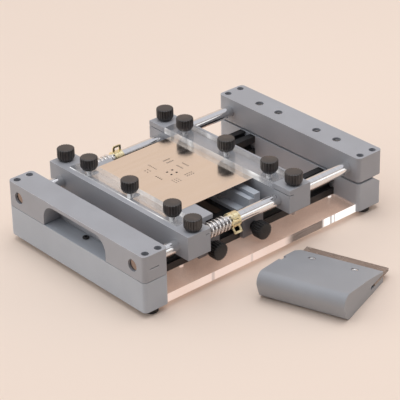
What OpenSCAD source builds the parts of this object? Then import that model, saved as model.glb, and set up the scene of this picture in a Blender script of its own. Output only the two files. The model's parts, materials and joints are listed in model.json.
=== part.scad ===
// Tabletop screen printing press: a base with two slotted rails and two board
// holders, a hinged frame whose two carriages hold a steel stencil, and a loose
// squeegee. Millimetres, +Z up, +Y to the rear. The origin is the middle of the
// base plate's underside.

/* [Frame and blocks] */
// Width over the end blocks
frame_w = 186; // [156:1:224]
// Length from the front face to the rear face
frame_l = 280; // [236:1:336]
// Depth of the two front blocks
front_block_d = 26.5; // [23:0.5:32]
// Depth of the two rear blocks
rear_block_d = 30; // [26:0.5:36]
// Height of the hinged frame's blocks
upper_block_h = 24.6; // [20.5:0.1:29.5]
// Radius of the blocks' upright corners
block_corner_r = 4; // [3:0.5:5]
// Height of the finger arch in the upper front block
arch_h = 21; // [17:0.5:22]
// Width of the finger arch
arch_w = 85; // [60:1:100]
// Depth of the finger arch
arch_d = 17.5; // [12:0.5:20]
// Radius of the arch's upper corners
arch_r = 14; // [8:0.5:16]
// Depth of the slope on the lower rear block's top
rear_slope_d = 9.4; // [7.8:0.1:11.3]
// Drop of that slope
rear_slope_h = 7; // [5.8:0.1:8.4]
// Height of the small slot in the upper front block's end faces
end_mark_h = 0.8; // [0.6:0.1:1]
// Length of that slot
end_mark_l = 10; // [8:0.5:12]
// Depth of that slot
end_mark_d = 1.2; // [1:0.1:1.5]

/* [Base] */
// Thickness of the clear base plate
plate_t = 8; // [6.7:0.1:9.6]
// Distance of the plate's side edges inside the blocks' end faces
plate_inset = 3; // [2.5:0.1:3.6]
// Depth of the step that holds the plate in each lower block
plate_step_d = 6.3; // [5.6:0.1:7.6]
// Side of the square slotted bars
rail_s = 20; // [17:0.5:24]
// Distance from a rod's axis in to a rail's axis
rail_to_rod = 25.5; // [24.9:0.1:30]
// Diameter of the rubber feet
foot_d = 13.5; // [11:0.5:16]
// Height of the rubber feet
foot_h = 5.8; // [4.8:0.1:7]
// Gap between the base plate's front edge and the front feet
front_foot_gap = 0.2; // [0.15:0.05:0.3]
// Gap between the base plate's rear edge and the rear feet
rear_foot_gap = 1.95; // [1.6:0.05:2.35]
// Rise of the blocks' undersides above the plate's underside
block_rise = 0.8; // [0.6:0.05:1]

/* [Rods and carriages] */
// Diameter of the guide rods
rod_d = 11; // [9.2:0.1:13.2]
// Distance of a rod's axis from the blocks' end faces
rod_inset = 15; // [13.5:0.5:18]
// Height of the rods' axes above the seam
rod_rise = 12; // [10.5:0.5:13.5]
// Distance of the rods' rear ends from the rear face
rod_stop = 5; // [4:0.5:6]
// Depth of the rods' front ends in the front block's face
rod_sink = 1.8; // [1.5:0.1:2.2]
// Chamfer of those ends
rod_chamfer = 0.8; // [0.6:0.1:1]
// Depth of the two carriages, front to rear
carriage_d = 25; // [22.5:0.5:30]
// How far a carriage's ends stand past the blocks
carriage_over_w = 1; // [0.8:0.1:1.2]
// Carriage underside below the rods' axes
carriage_under = 8.5; // [7.5:0.1:9]
// Carriage top above the rods' axes
carriage_over = 14; // [13:0.1:16.8]
// Depth of the recess in each carriage's top
recess_depth = 5.5; // [4.6:0.1:6]
// Width of the raised land at each carriage end
end_land_w = 21; // [18:0.5:25]
// Depth of the front carriage's front lip
front_lip_w = 5.3; // [4.5:0.1:6.4]
// Depth of the rear carriage's rear lip
rear_lip_w = 2.3; // [1.9:0.1:2.8]
// Reach of the ledge behind the front carriage
ledge_reach = 24.1; // [20:0.1:28.9]
// Thickness of that ledge
ledge_t = 4.5; // [3.8:0.1:5.4]
// Gap between that ledge's ends and the springs
ledge_gap = 0.9; // [0.8:0.1:1.1]
// Gap from the front blocks to the front carriage
front_carriage_gap = 20.9; // [17.5:0.1:25]
// Gap between the two carriages
carriage_span = 91.5; // [80:0.5:110]
// Height of the slots in the carriages' ends
end_slot_h = 0.8; // [0.7:0.1:1]
// Depth of those slots
end_slot_d = 5; // [4:0.5:6]
// Thickness of the clear clamp bars
clamp_t = 5.5; // [4.6:0.1:6.6]
// Polished bevel of the clamp bars
clamp_bevel = 0.9; // [0.7:0.1:1.1]
// How far the front clamp bar stands past its carriage
clamp_lap = 0.6; // [0.5:0.1:0.7]
// Distance of the outer clamp studs from the recess's ends
stud_inset = 16.5; // [14:0.5:20]
// Distance of the end studs from the carriage's ends
end_stud_inset = 8; // [7:0.5:9.5]
// Depth of the studs in the carriages
stud_sink = 6.8; // [5.8:0.1:7]

/* [Knobs] */
// Diameter of the knobs
knob_d = 16; // [13.5:0.5:19]
// Height of a knob's grooved body
knob_h = 11.6; // [9.8:0.1:13.8]
// Number of grooves around a knob
groove_count = 20; // [14:1:24]
// Diameter of the studs
stud_d = 5; // [4.2:0.1:5.6]
// Diameter of the washers under the clamp knobs
washer_d = 9; // [8:0.5:10.5]
// Thickness of those washers
washer_t = 0.8; // [0.6:0.1:1]

/* [Springs and clips] */
// Length of the springs on the rods
spring_l = 34.2; // [30:0.1:41]
// Least play of the springs' curls around their rod
spring_play = 0.06; // [0.05:0.01:0.07]
// Diameter of the spring wire
wire_d = 1.4; // [1.2:0.05:1.7]
// Number of curls in a spring
curl_count = 7; // [6:1:8]
// Width of the spring band clips
clip_w = 9.5; // [8:0.5:11.4]
// Thickness of the clips' band
band_t = 1.4; // [1.2:0.1:1.7]
// Reach of the clips' window tab
tab_reach = 6; // [5:0.1:7.2]
// Thickness of that tab
tab_t = 1.2; // [1:0.1:1.4]
// Rail width of the tab's window frame
tab_rim = 2.2; // [1.8:0.1:2.4]
// Width of the clips' narrow ear
ear_w = 4; // [3.4:0.1:4.8]
// Reach of that ear
ear_reach = 3; // [2.5:0.1:3.6]

/* [Board holders] */
// Depth of a jaw, front to rear
jaw_d = 13; // [11:0.5:15.6]
// Depth of a jaw's raised band
jaw_band_d = 7; // [5.9:0.1:8.4]
// Drop from the band to the board step
jaw_step_drop = 3; // [2.5:0.1:3.6]
// Side of the groove in the foot of the band
jaw_groove = 1.2; // [1:0.1:1.4]
// Thickness of the jaw's foot over the cross-bar
jaw_foot_t = 3.5; // [3:0.1:4.2]
// Reach of that foot in front of the jaw
jaw_foot_reach = 8; // [6.8:0.1:9.6]
// Gap between the jaws and the ledge
jaw_clear = 0.7; // [0.6:0.05:1]
// Depth of the end brackets, front to rear
bracket_d = 24; // [20:0.5:26]
// Thickness of the end brackets
bracket_t = 4.5; // [3.8:0.1:5]
// Underside of the brackets above the base plate
bracket_low = 1.5; // [1.2:0.1:1.8]
// Height of the brackets
bracket_h = 26; // [24:0.5:28]
// Distance of the jaw behind the bracket's middle
jaw_shift = 6; // [5:0.1:7.2]
// Distance of the cross-bar in front of the bracket's middle
bar_shift = 4; // [3.4:0.1:4.8]
// Gap from the rear carriage to the rear brackets
rear_bracket_gap = 6.4; // [5.4:0.1:7.7]
// Gap from the front carriage to the front brackets
front_bracket_gap = 9.6; // [8:0.1:11.5]
// Length of the side knobs' hub
hub_l = 3.8; // [3.2:0.1:4.6]
// Diameter of the side knobs' hub
hub_d = 9; // [8:0.5:10.5]

/* [Stencil] */
// Thickness of the steel foil
foil_t = 0.2; // [0.17:0.01:0.24]
// Reach of the foil to the left of the middle
foil_left = 63; // [60:0.5:66]
// Reach of the foil to the right of the middle
foil_right = 47; // [40:0.5:52]
// Reach of the foil's rear edge into the rear carriage
foil_rear_in = 7.6; // [6:0.1:8]
// Distance of the foil's front edge behind the front carriage's front face
foil_front_in = 15.1; // [12.6:0.1:17]
// Width of the open notches around the front studs
notch_w = 6; // [5.7:0.1:7.2]
// Length of those notches
notch_l = 10.5; // [8.8:0.1:12.6]
// Side of the foil's smallest aperture
aperture_s = 0.9; // [0.8:0.1:1.1]
// Grid on which the apertures stand
aperture_grid = 3; // [2.5:0.1:3.4]

/* [Squeegee] */
// Length of the squeegee's body
sq_l = 81.5; // [70:0.5:96]
// Depth of its body, without the blade
sq_d = 76.5; // [68:0.5:90]
// Height of its nose
sq_h = 25.5; // [23:0.5:30]
// Height of its rear edge
sq_rear_h = 10.5; // [9.6:0.1:12.5]
// Distance of the crease from the nose
sq_crease = 45.5; // [40:0.5:52]
// Radius of the nose's upper edge
nose_top_r = 8.5; // [7.5:0.1:9.5]
// Radius of the nose's lower edge
nose_low_r = 8; // [7:0.1:9]
// Set-back of the nose's lower edge
nose_back = 3; // [2.5:0.1:3.6]
// Slope of the top behind the nose, degrees
nose_slope = 11; // [9:0.5:12]
// Thickness of the blade
blade_t = 3; // [2.5:0.1:3.2]
// Height of the blade's underside
blade_z = 5.2; // [4.4:0.1:5.4]
// Distance of the blade's inner edge from the nose
blade_in = 59; // [58:0.1:59.3]
// Reach of the blade behind the body
blade_out = 11; // [9:0.5:13]
// Length of the empty end of the blade's slot
slot_spare = 7; // [6:0.5:8.4]
// Distance of the screws from the nose
sq_screw_in = 63; // [62.6:0.1:64.5]
// Distance between the two screws
sq_screw_pitch = 40.4; // [34:0.1:48]
// Width of the cut corner at the left rear
sq_corner_w = 3.6; // [3:0.1:4.3]
// Depth of that cut corner
sq_corner_d = 5.8; // [4.8:0.1:7]
// Depth of the small notch in the left end
sq_notch_w = 2.6; // [2.1:0.1:3.1]
// Length of that notch
sq_notch_l = 9; // [7.5:0.5:10.8]
// Distance of the squeegee's left front corner from the blocks' right faces
sq_gap = 40.1; // [34:0.1:48]
// Position of the squeegee's left front corner to the rear
sq_y = -52; // [-63:0.1:-40]
// Turn of the squeegee, degrees
sq_turn = 19.2; // [16:0.1:23]

/* [Fasteners] */
// Diameter of the sunk corner screws' heads
cap_d = 5.5; // [4.6:0.1:6]
// Diameter of the holes above them
cap_hole_d = 6.6; // [6.2:0.1:7]
// Height of their heads
cap_h = 3; // [2.5:0.1:3.6]
// Depth of their heads' tops below the block's top
cap_sink = 4; // [3.4:0.1:4.8]
// Diameter of the small screws' shanks
thin_d = 3; // [2.5:0.1:3.5]
// Length of the small screws' shanks
thin_l = 9; // [7.5:0.5:10]
// Diameter of the hinge bolts' heads
bolt_head_d = 6.8; // [5.8:0.1:7.2]
// Diameter of the holes above them
bolt_hole_d = 8; // [7.6:0.1:9]
// Height of the hinge bolts' heads
bolt_head_h = 3; // [2.5:0.1:3.6]
// Depth of their heads' tops below the block's top
bolt_sink = 1.5; // [1.2:0.1:1.8]
// Diameter of the hinge bolts' shanks
bolt_d = 3.9; // [3.3:0.1:4.6]
// Distance between the two bolts of a hinge
bolt_pitch = 26; // [22:0.5:30]
// Diameter of the base plate screws
plate_screw_d = 4; // [3.4:0.1:4.6]
// Diameter of their heads
plate_head_d = 6; // [5:0.1:6.3]
// Height of their heads
plate_head_h = 2; // [1.7:0.1:2.4]
// Depth of those heads above the plate's underside
plate_head_sink = 0.3; // [0.2:0.05:0.4]
// Diameter of the seat screw's head
seat_head_d = 6; // [5:0.1:7]
// Height of the seat screw's head
seat_head_h = 1.6; // [1.3:0.1:1.9]
// Diameter of the squeegee screws' heads
sq_head_d = 6.2; // [5.4:0.1:6.6]
// Height of the squeegee screws' heads
sq_head_h = 2; // [1.7:0.1:2.2]

/* [Hinges] */
// Length of a hinge along its axis
hinge_l = 40; // [34:1:46]
// Distance of a hinge's middle from the press's middle
hinge_x = 38.2; // [33:0.1:45]
// Outside diameter of the barrel
barrel_d = 4.6; // [4.2:0.1:4.8]
// Diameter of the pin
pin_d = 2; // [1.7:0.1:2.2]
// Thickness of a leaf
leaf_t = 0.85; // [0.8:0.01:0.95]
// Reach of a leaf in front of the axis
leaf_reach = 19.6; // [17:0.1:23]

/* [Fits] */
// Radial gap of a running fit
run_gap = 0.05; // [0.02:0.01:0.09]
// Gap of a seat between pieces that don't move
seat_gap = 0.02; // [0.01:0.01:0.03]
// Gap between pieces that slide past each other
slide_gap = 0.3; // [0.25:0.01:0.36]
// Gap between the foil and what holds it
foil_gap = 0.05; // [0.04:0.01:0.06]
// Gap of a clamp bar in its recess
bar_gap = 0.2; // [0.15:0.01:0.25]
// Gap between the blocks' faces at the front seam
seam_gap = 0.4; // [0.33:0.01:0.48]

/* [Hidden] */
$fn = 32;
fine_fn = 48;
small_fn = 16;
hex_fn = 6;
over = 1;

rail_cover = 0.075 * rail_s;
seam_z = plate_t + rail_s + rail_cover;
block_low = block_rise;
floor_z = block_low - foot_h;
upper_low = seam_z + seam_gap;
upper_top = upper_low + upper_block_h;
leaf_gap_half = slide_gap / 2;
rear_lower_top = seam_z - leaf_gap_half - leaf_t;
rear_upper_low = seam_z + leaf_gap_half + leaf_t;

front_y = -frame_l / 2;
rear_y = frame_l / 2;
front_in = front_y + front_block_d;
rear_in = rear_y - rear_block_d;
front_mid = front_y + front_block_d / 2;
rear_mid = rear_y - rear_block_d / 2;
inner_l = rear_in - front_in;

rod_x = frame_w / 2 - rod_inset;
rod_z = seam_z + rod_rise;
rail_x = rod_x - rail_to_rod;
rail_in = rail_x - rail_s / 2;
rail_out = rail_x + rail_s / 2;
plate_w = frame_w - 2 * plate_inset;

rings_per_curl = 8;
tube_sides = 6;
wire_flat = wire_d / 2 * cos(180 / tube_sides);
ring_r = (rod_d / 2 + spring_play) / cos(180 / rings_per_curl) + wire_flat;
carriage_w = frame_w + 2 * carriage_over_w;
carriage_low = rod_z - carriage_under;
carriage_top = rod_z + carriage_over;
floor_top = carriage_top - recess_depth;
recess_w = carriage_w - 2 * end_land_w;
front_car = front_in + front_carriage_gap;
front_car_back = front_car + carriage_d;
rear_car = front_car_back + carriage_span;
rear_car_back = rear_car + carriage_d;
ledge_w = 2 * (rod_x - ring_r - wire_d / 2 - ledge_gap);

foil_low = floor_top + foil_gap;
clamp_low = foil_low + foil_t + foil_gap;
clamp_top = clamp_low + clamp_t;
clamp_w = recess_w - 2 * 2 * bar_gap;
front_clamp_y = front_car + front_lip_w + bar_gap;
front_clamp_d = front_car_back + clamp_lap - front_clamp_y;
rear_clamp_y = rear_car;
rear_clamp_d = carriage_d - rear_lip_w - bar_gap;
front_stud_y = front_clamp_y + front_clamp_d / 2;
rear_stud_y = rear_clamp_y + rear_clamp_d / 2;
front_end_y = front_car + carriage_d / 2;
rear_end_y = rear_car + carriage_d / 2;
stud_x = recess_w / 2 - stud_inset;
end_stud_x = carriage_w / 2 - end_stud_inset;
clamp_knob_z = clamp_top + washer_t + slide_gap;
end_knob_z = carriage_top + slide_gap;
bore_share = 0.72;
stud_share = 0.68;
groove_share = 0.92;
cone_share = 0.88;
skirt_share = 0.22;
crown_share = 0.08;
skirt_foot = 0.76;
crown_top = 0.8;

bend_r = wire_d;
straight_l = wire_d;
bend_steps = 4;
spring_y = front_car_back + foil_gap;
clip_y = spring_y + spring_l + foil_gap;
curl_rise = (spring_l - 2 * straight_l - 2 * bend_r) / (curl_count + 1 / rings_per_curl);
lead = atan(curl_rise / (2 * PI * ring_r));
curl_part = (spring_l - 2 * straight_l - 2 * bend_r * cos(lead)) / curl_rise;
left_tab_turn = 90;
right_tab_turn = -50;
ear_turn = 80;

jaw_low = plate_t + rail_s + slide_gap;
jaw_top = floor_top - ledge_t - jaw_clear;
jaw_w = 2 * (rail_out + slide_gap);
bar_w = 2 * (rail_in - slide_gap);
bar_low = plate_t + slide_gap;
bracket_x = jaw_w / 2;
rear_hold = rear_car - rear_bracket_gap - bracket_d / 2;
front_hold = front_car_back + front_bracket_gap + bracket_d / 2;
hold_z = plate_t + rail_s / 2;
hold_head_t = 0.09 * rail_s;
hold_head_w = 0.47 * rail_s;
hold_lip = 0.1 * rail_s;
side_knob_x = bracket_x + bracket_t + slide_gap;
bracket_screw_z = jaw_low + (plate_t + bracket_low + bracket_h - jaw_low) / 2;
jaw_bolt_x = bar_w / 3;

slot_open = 0.155;
slot_lip = 0.4;
slot_wide = 0.25;
slot_mid = 0.29;
slot_foot = 0.145;
slot_deep = 0.19;
rail_hole = 0.21;

corner_share = 0.24;
corner_x = frame_w / 2 - block_corner_r - thin_d / 2;
hinge_y = rear_y - barrel_d / 2 - run_gap * 2;
bolt_y = rear_in + 0.467 * rear_block_d;
hinge_bolts_x = [for (s = [-1, 1], e = [-1, 1]) s * hinge_x + e * bolt_pitch / 2];
knuckle_l = (hinge_l - 2 * slide_gap) / 3;
leaf_front = hinge_y - leaf_reach;
leaf_back = hinge_y - barrel_d / 2 - slide_gap;
sink_h = 0.7 * leaf_t;
pocket_gap = slide_gap + run_gap;
plate_screw_in = 0.45 * plate_step_d;
plate_screw_y = [front_in - plate_screw_in, -0.3 * inner_l, 0.3 * inner_l, rear_in + plate_screw_in];
seat_y = front_y + 0.48 * front_block_d;

low_c = [nose_low_r + nose_back + nose_back / 6, nose_low_r];
top_c = [nose_top_r, sq_h - nose_top_r];
span_v = top_c - low_c;
tangent_a = atan2(span_v[1], span_v[0]) + acos((nose_low_r - nose_top_r) / norm(span_v));
tangent_n = [cos(tangent_a), sin(tangent_a)];
slope_n = [sin(nose_slope), cos(nose_slope)];
slope_p = top_c + nose_top_r * slope_n;
crease_z = slope_p[1] - (sq_crease - slope_p[0]) * tan(nose_slope);
screw_top_z = crease_z - (sq_screw_in - sq_crease) * (crease_z - sq_rear_h) / (sq_d - sq_crease);
sq_head_z = screw_top_z - sq_head_h - 0.4 * sq_head_h;
sq_screw_u = [sq_l / 2 - sq_screw_pitch / 2, sq_l / 2 + sq_screw_pitch / 2];
sq_tip_z = 0.35 * blade_z;

grey = [0.55, 0.55, 0.56];
black = [0.08, 0.08, 0.09];
clear = [0.85, 0.86, 0.87];
pink = [0.9, 0.8, 0.77];
chrome = [0.8, 0.8, 0.82];
steel = [0.7, 0.71, 0.73];
zinc = [0.75, 0.68, 0.42];
amber = [0.35, 0.25, 0.19];

// A box between two corners
module box(low, high) {
    translate(low) cube(high - low);
}

// A cylinder along Y from one y to another
module rod_along_y(x, z, y_from, y_to, d) {
    translate([x, y_from, z]) rotate([-90, 0, 0]) cylinder(h = y_to - y_from, d = d);
}

// A cylinder along X from one x to another
module rod_along_x(x_from, x_to, y, z, d) {
    translate([x_from, y, z]) rotate([0, 90, 0]) cylinder(h = x_to - x_from, d = d);
}

// An upright cylinder between two heights
module post(x, y, z_from, z_to, d) {
    translate([x, y, z_from]) cylinder(h = z_to - z_from, d = d, $fn = small_fn);
}

// A block's plan with rounded upright corners
module block_plan(depth) {
    square([frame_w - 2 * block_corner_r, depth], center = true);
    square([frame_w, depth - 2 * block_corner_r], center = true);
    for (sx = [-1, 1], sy = [-1, 1])
        translate([sx * (frame_w / 2 - block_corner_r), sy * (depth / 2 - block_corner_r)])
            circle(block_corner_r, $fn = fine_fn);
}

module block(mid_y, depth, z_from, z_to) {
    translate([0, mid_y, z_from]) linear_extrude(z_to - z_from) block_plan(depth);
}

// The slotted bar's cross-section, a slot in each side and a hole down the middle
module slot_cut() {
    polygon([
        [slot_open * rail_s, rail_s], [slot_open * rail_s, slot_lip * rail_s],
        [slot_wide * rail_s, slot_lip * rail_s], [slot_wide * rail_s, slot_mid * rail_s],
        [slot_foot * rail_s, slot_deep * rail_s], [-slot_foot * rail_s, slot_deep * rail_s],
        [-slot_wide * rail_s, slot_mid * rail_s], [-slot_wide * rail_s, slot_lip * rail_s],
        [-slot_open * rail_s, slot_lip * rail_s], [-slot_open * rail_s, rail_s]
    ]);
}

module slot_section() {
    difference() {
        square(rail_s, center = true);
        for (turn = [0, 90, 180, 270]) rotate(turn) slot_cut();
        circle(d = rail_hole * rail_s, $fn = small_fn);
    }
}

// Base

module plate_step(side, inner_y) {
    reach = plate_step_d + seat_gap;
    y_from = side > 0 ? inner_y - over : inner_y - reach;
    y_to = side > 0 ? inner_y + reach : inner_y + over;
    half = plate_w / 2 + seat_gap;
    box([-half, y_from, -over], [half, y_to, plate_t + seat_gap]);
}

module plate_screw_holes(z_to) {
    for (x = [-rail_x, rail_x], y = plate_screw_y)
        post(x, y, -over, z_to, plate_screw_d + 2 * seat_gap);
}

module base_plate() {
    color(pink) difference() {
        box([-plate_w / 2, front_in - plate_step_d, 0], [plate_w / 2, rear_in + plate_step_d, plate_t]);
        plate_screw_holes(plate_t + over);
        for (x = [-rail_x, rail_x], y = plate_screw_y)
            post(x, y, -over, plate_head_sink + plate_head_h, plate_head_d + 2 * seat_gap);
    }
}

module front_lower_block() {
    color(grey) difference() {
        block(front_mid, front_block_d, block_low, seam_z);
        plate_step(-1, front_in);
        plate_screw_holes(plate_t + thin_l + over);
        post(0, seat_y, seam_z - thin_l - over, seam_z + over, thin_d + 2 * seat_gap);
    }
}

module rear_lower_block() {
    slope_y = rear_y - rear_slope_d;
    slope_run = rear_slope_d + over;
    slope_end = rear_lower_top - rear_slope_h * slope_run / rear_slope_d;
    color(grey) difference() {
        block(rear_mid, rear_block_d, block_low, rear_lower_top);
        plate_step(1, rear_in);
        plate_screw_holes(plate_t + thin_l + over);
        translate([-frame_w, 0, 0]) rotate([90, 0, 90]) linear_extrude(2 * frame_w)
            polygon([
                [slope_y, rear_lower_top], [rear_y + over, slope_end],
                [rear_y + over, rear_lower_top + over], [slope_y, rear_lower_top + over]
            ]);
        for (x = hinge_bolts_x)
            post(x, bolt_y, rear_lower_top - thin_l - over, rear_lower_top + over, thin_d + 2 * seat_gap);
    }
}

module rail(x) {
    color(black) translate([x, rear_in, plate_t + rail_s / 2])
        rotate([90, 0, 0]) linear_extrude(inner_l) slot_section();
}

module left_rail() {
    rail(-rail_x);
}

module right_rail() {
    rail(rail_x);
}

module rail_nuts() {
    side = hold_head_w;
    nut_low = plate_t + hold_lip + seat_gap;
    color(steel) for (x = [-rail_x, rail_x], y = [plate_screw_y[1], plate_screw_y[2]])
        difference() {
            box([x - side / 2, y - side / 2, nut_low], [x + side / 2, y + side / 2, nut_low + hold_head_t]);
            post(x, y, nut_low - over, nut_low + hold_head_t + over, plate_screw_d + 2 * seat_gap);
        }
}

module plate_screws() {
    rail_tip = plate_t + 0.26 * rail_s;
    tips = [plate_t + thin_l, rail_tip, rail_tip, plate_t + thin_l];
    color(steel) for (x = [-rail_x, rail_x], i = [0 : len(tips) - 1]) {
        post(x, plate_screw_y[i], plate_head_sink + plate_head_h, tips[i], plate_screw_d);
        post(x, plate_screw_y[i], plate_head_sink, plate_head_sink + plate_head_h, plate_head_d);
    }
}

module feet() {
    foot_x = frame_w / 2 - foot_d / 2 - block_corner_r / 2;
    front_foot_y = front_in - plate_step_d - front_foot_gap - foot_d / 2;
    rear_foot_y = rear_in + plate_step_d + rear_foot_gap + foot_d / 2;
    color(black) for (x = [-foot_x, foot_x], y = [front_foot_y, rear_foot_y])
        translate([x, y, floor_z]) cylinder(h = foot_h, d = foot_d);
}

module front_seat_screw() {
    color(steel) {
        post(0, seat_y, seam_z - thin_l, seam_z, thin_d);
        translate([0, seat_y, seam_z]) cylinder(h = seat_head_h, d = seat_head_d);
    }
}

module leaf(z_from, z_to, knuckles) {
    difference() {
        union() {
            for (s = [-1, 1])
                box([s * hinge_x - hinge_l / 2, leaf_front, z_from],
                    [s * hinge_x + hinge_l / 2, leaf_back, z_to]);
            for (s = [-1, 1], k = knuckles) {
                x_from = s * hinge_x - hinge_l / 2 + k * (knuckle_l + slide_gap);
                box([x_from, leaf_back - over, z_from], [x_from + knuckle_l, hinge_y, z_to]);
                rod_along_x(x_from, x_from + knuckle_l, hinge_y, seam_z, barrel_d);
            }
        }
        for (s = [-1, 1])
            rod_along_x(s * hinge_x - hinge_l, s * hinge_x + hinge_l, hinge_y, seam_z, pin_d + 2 * run_gap);
        children();
    }
}

module hinge_lower_leaves() {
    color(steel) leaf(rear_lower_top, rear_lower_top + leaf_t, [0, 2])
        for (x = hinge_bolts_x) {
            post(x, bolt_y, rear_lower_top - over, rear_lower_top + leaf_t + over, thin_d + 2 * seat_gap);
            translate([x, bolt_y, rear_lower_top + leaf_t - sink_h])
                cylinder(h = sink_h + over, d = 2 * thin_d + 2 * seat_gap, $fn = small_fn);
        }
}

module hinge_lower_screws() {
    color(steel) for (x = hinge_bolts_x) {
        post(x, bolt_y, rear_lower_top - thin_l, rear_lower_top + leaf_t, thin_d);
        post(x, bolt_y, rear_lower_top + leaf_t - sink_h, rear_lower_top + leaf_t, 2 * thin_d);
    }
}

module hinge_pins() {
    color(steel) for (s = [-1, 1])
        rod_along_x(s * hinge_x - hinge_l / 2, s * hinge_x + hinge_l / 2, hinge_y, seam_z, pin_d);
}

// Board holders, drawn for the rear one about the middle of its brackets

module at_holder(end) {
    if (end > 0) translate([0, rear_hold, 0]) children();
    else translate([0, front_hold, 0]) mirror([0, 1, 0]) children();
}

module cross_bar(end) {
    color(black) at_holder(end) translate([-bar_w / 2, -bar_shift, bar_low + rail_s / 2])
        rotate([90, 0, 90]) linear_extrude(bar_w) slot_section();
}

module jaw(end) {
    y_from = jaw_shift - jaw_d / 2;
    y_to = jaw_shift + jaw_d / 2;
    band_y = y_to - jaw_band_d;
    step_z = jaw_top - jaw_step_drop;
    color(grey) at_holder(end) difference() {
        translate([-jaw_w / 2, 0, 0]) rotate([90, 0, 90]) linear_extrude(jaw_w)
            polygon([
                [y_from - jaw_foot_reach, jaw_low], [y_to, jaw_low], [y_to, jaw_top],
                [band_y, jaw_top], [band_y, step_z - jaw_groove],
                [band_y - jaw_groove, step_z - jaw_groove], [band_y - jaw_groove, step_z],
                [y_from, step_z], [y_from, jaw_low + jaw_foot_t],
                [y_from - jaw_foot_reach, jaw_low + jaw_foot_t]
            ]);
        for (s = [-1, 1])
            post(s * jaw_bolt_x, -bar_shift, jaw_low - over, jaw_low + jaw_foot_t + over,
                stud_d + 2 * seat_gap);
        for (s = [-1, 1], y = [y_from + thin_d, y_to - thin_d])
            rod_along_x(s * jaw_w / 2 - thin_l + bracket_t, s * jaw_w / 2 + thin_l - bracket_t, y,
                bracket_screw_z, thin_d + 2 * seat_gap);
    }
}

module brackets(end) {
    z_from = plate_t + bracket_low;
    y_from = jaw_shift - jaw_d / 2;
    y_to = jaw_shift + jaw_d / 2;
    color(grey) at_holder(end) difference() {
        for (s = [-1, 1]) {
            x_mid = s * (bracket_x + bracket_t / 2);
            box([x_mid - bracket_t / 2, -bracket_d / 2, z_from],
                [x_mid + bracket_t / 2, bracket_d / 2, z_from + bracket_h]);
        }
        rod_along_x(-rail_out - 2 * bracket_t, rail_out + 2 * bracket_t, 0, hold_z, stud_d + 2 * seat_gap);
        for (s = [-1, 1], y = [y_from + thin_d, y_to - thin_d]) {
            x_out = s * (bracket_x + bracket_t);
            rod_along_x(x_out - 2 * bracket_t, x_out + 2 * bracket_t, y, bracket_screw_z,
                thin_d + 2 * seat_gap);
            rod_along_x(x_out - sink_depth(), x_out + sink_depth(), y, bracket_screw_z,
                sink_d() + 2 * seat_gap);
        }
    }
}

function sink_d() = 1.6 * thin_d;

function sink_depth() = 0.4 * bracket_t;

module bracket_screws(end) {
    y_from = jaw_shift - jaw_d / 2;
    y_to = jaw_shift + jaw_d / 2;
    color(steel) at_holder(end) for (s = [-1, 1], y = [y_from + thin_d, y_to - thin_d]) {
        x_out = bracket_x + bracket_t;
        x_in = jaw_w / 2 - thin_l + bracket_t + seat_gap;
        rod_along_x(min(s * x_out, s * x_in), max(s * x_out, s * x_in), y, bracket_screw_z, thin_d,
            $fn = small_fn);
        rod_along_x(min(s * x_out, s * (x_out - sink_depth())), max(s * x_out, s * (x_out - sink_depth())),
            y, bracket_screw_z, sink_d(), $fn = small_fn);
    }
}

module holder_bolts(end) {
    head_out = rail_out - hold_lip - slide_gap;
    bar_slot = bar_low + rail_s - hold_lip - seat_gap;
    tip = side_knob_x + hub_l + stud_share * knob_h;
    color(steel) at_holder(end) {
        for (s = [-1, 1]) {
            rod_along_x(min(s * head_out, s * tip), max(s * head_out, s * tip), 0, hold_z, stud_d,
                $fn = small_fn);
            x_mid = s * (head_out - hold_head_t / 2);
            box([x_mid - hold_head_t / 2, -hold_head_w / 2, hold_z - hold_head_w / 2],
                [x_mid + hold_head_t / 2, hold_head_w / 2, hold_z + hold_head_w / 2]);
            post(s * jaw_bolt_x, -bar_shift, bar_slot, jaw_low + jaw_foot_t, stud_d);
            box([s * jaw_bolt_x - hold_head_w / 2, -bar_shift - hold_head_w / 2, bar_slot - hold_head_t],
                [s * jaw_bolt_x + hold_head_w / 2, -bar_shift + hold_head_w / 2, bar_slot]);
        }
    }
}

module rear_cross_bar() {
    cross_bar(1);
}

module rear_jaw() {
    jaw(1);
}

module rear_brackets() {
    brackets(1);
}

module rear_bracket_screws() {
    bracket_screws(1);
}

module rear_holder_bolts() {
    holder_bolts(1);
}

module front_cross_bar() {
    cross_bar(-1);
}

module front_jaw() {
    jaw(-1);
}

module front_brackets() {
    brackets(-1);
}

module front_bracket_screws() {
    bracket_screws(-1);
}

module front_holder_bolts() {
    holder_bolts(-1);
}

// Knobs

function groove_points(r) = [
    for (i = [0 : groove_count - 1], j = [0 : 2])
        let (share = [0, 0.56, 0.78][j])
        let (reach = [r, r, groove_share * r][j])
        let (turn = 360 * (i + share) / groove_count)
        reach * [cos(turn), sin(turn)]
];

// A grooved knob standing on its foot, with a blind bore for the stud
module knob_body(hub) {
    r = knob_d / 2;
    skirt = skirt_share * knob_h;
    crown = crown_share * knob_h;
    color(black) difference() {
        union() {
            if (hub > 0) cylinder(h = hub + skirt, d = hub_d, $fn = small_fn);
            translate([0, 0, hub])
                cylinder(h = skirt, r1 = skirt_foot * r, r2 = cone_share * r);
            translate([0, 0, hub + skirt])
                linear_extrude(knob_h - skirt - crown) polygon(groove_points(r));
            translate([0, 0, hub + knob_h - crown])
                cylinder(h = crown, r1 = cone_share * r, r2 = crown_top * r);
        }
        translate([0, 0, -over])
            cylinder(h = hub + bore_share * knob_h + over, d = stud_d + 2 * run_gap, $fn = small_fn);
    }
}

module knob(x, y, z) {
    translate([x, y, z]) knob_body(0);
}

module side_knob(side, end) {
    at_holder(end) translate([side * side_knob_x, 0, hold_z]) rotate([0, side * 90, 0])
        knob_body(hub_l);
}

module rear_right_side_knob() {
    side_knob(1, 1);
}

module rear_left_side_knob() {
    side_knob(-1, 1);
}

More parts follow.
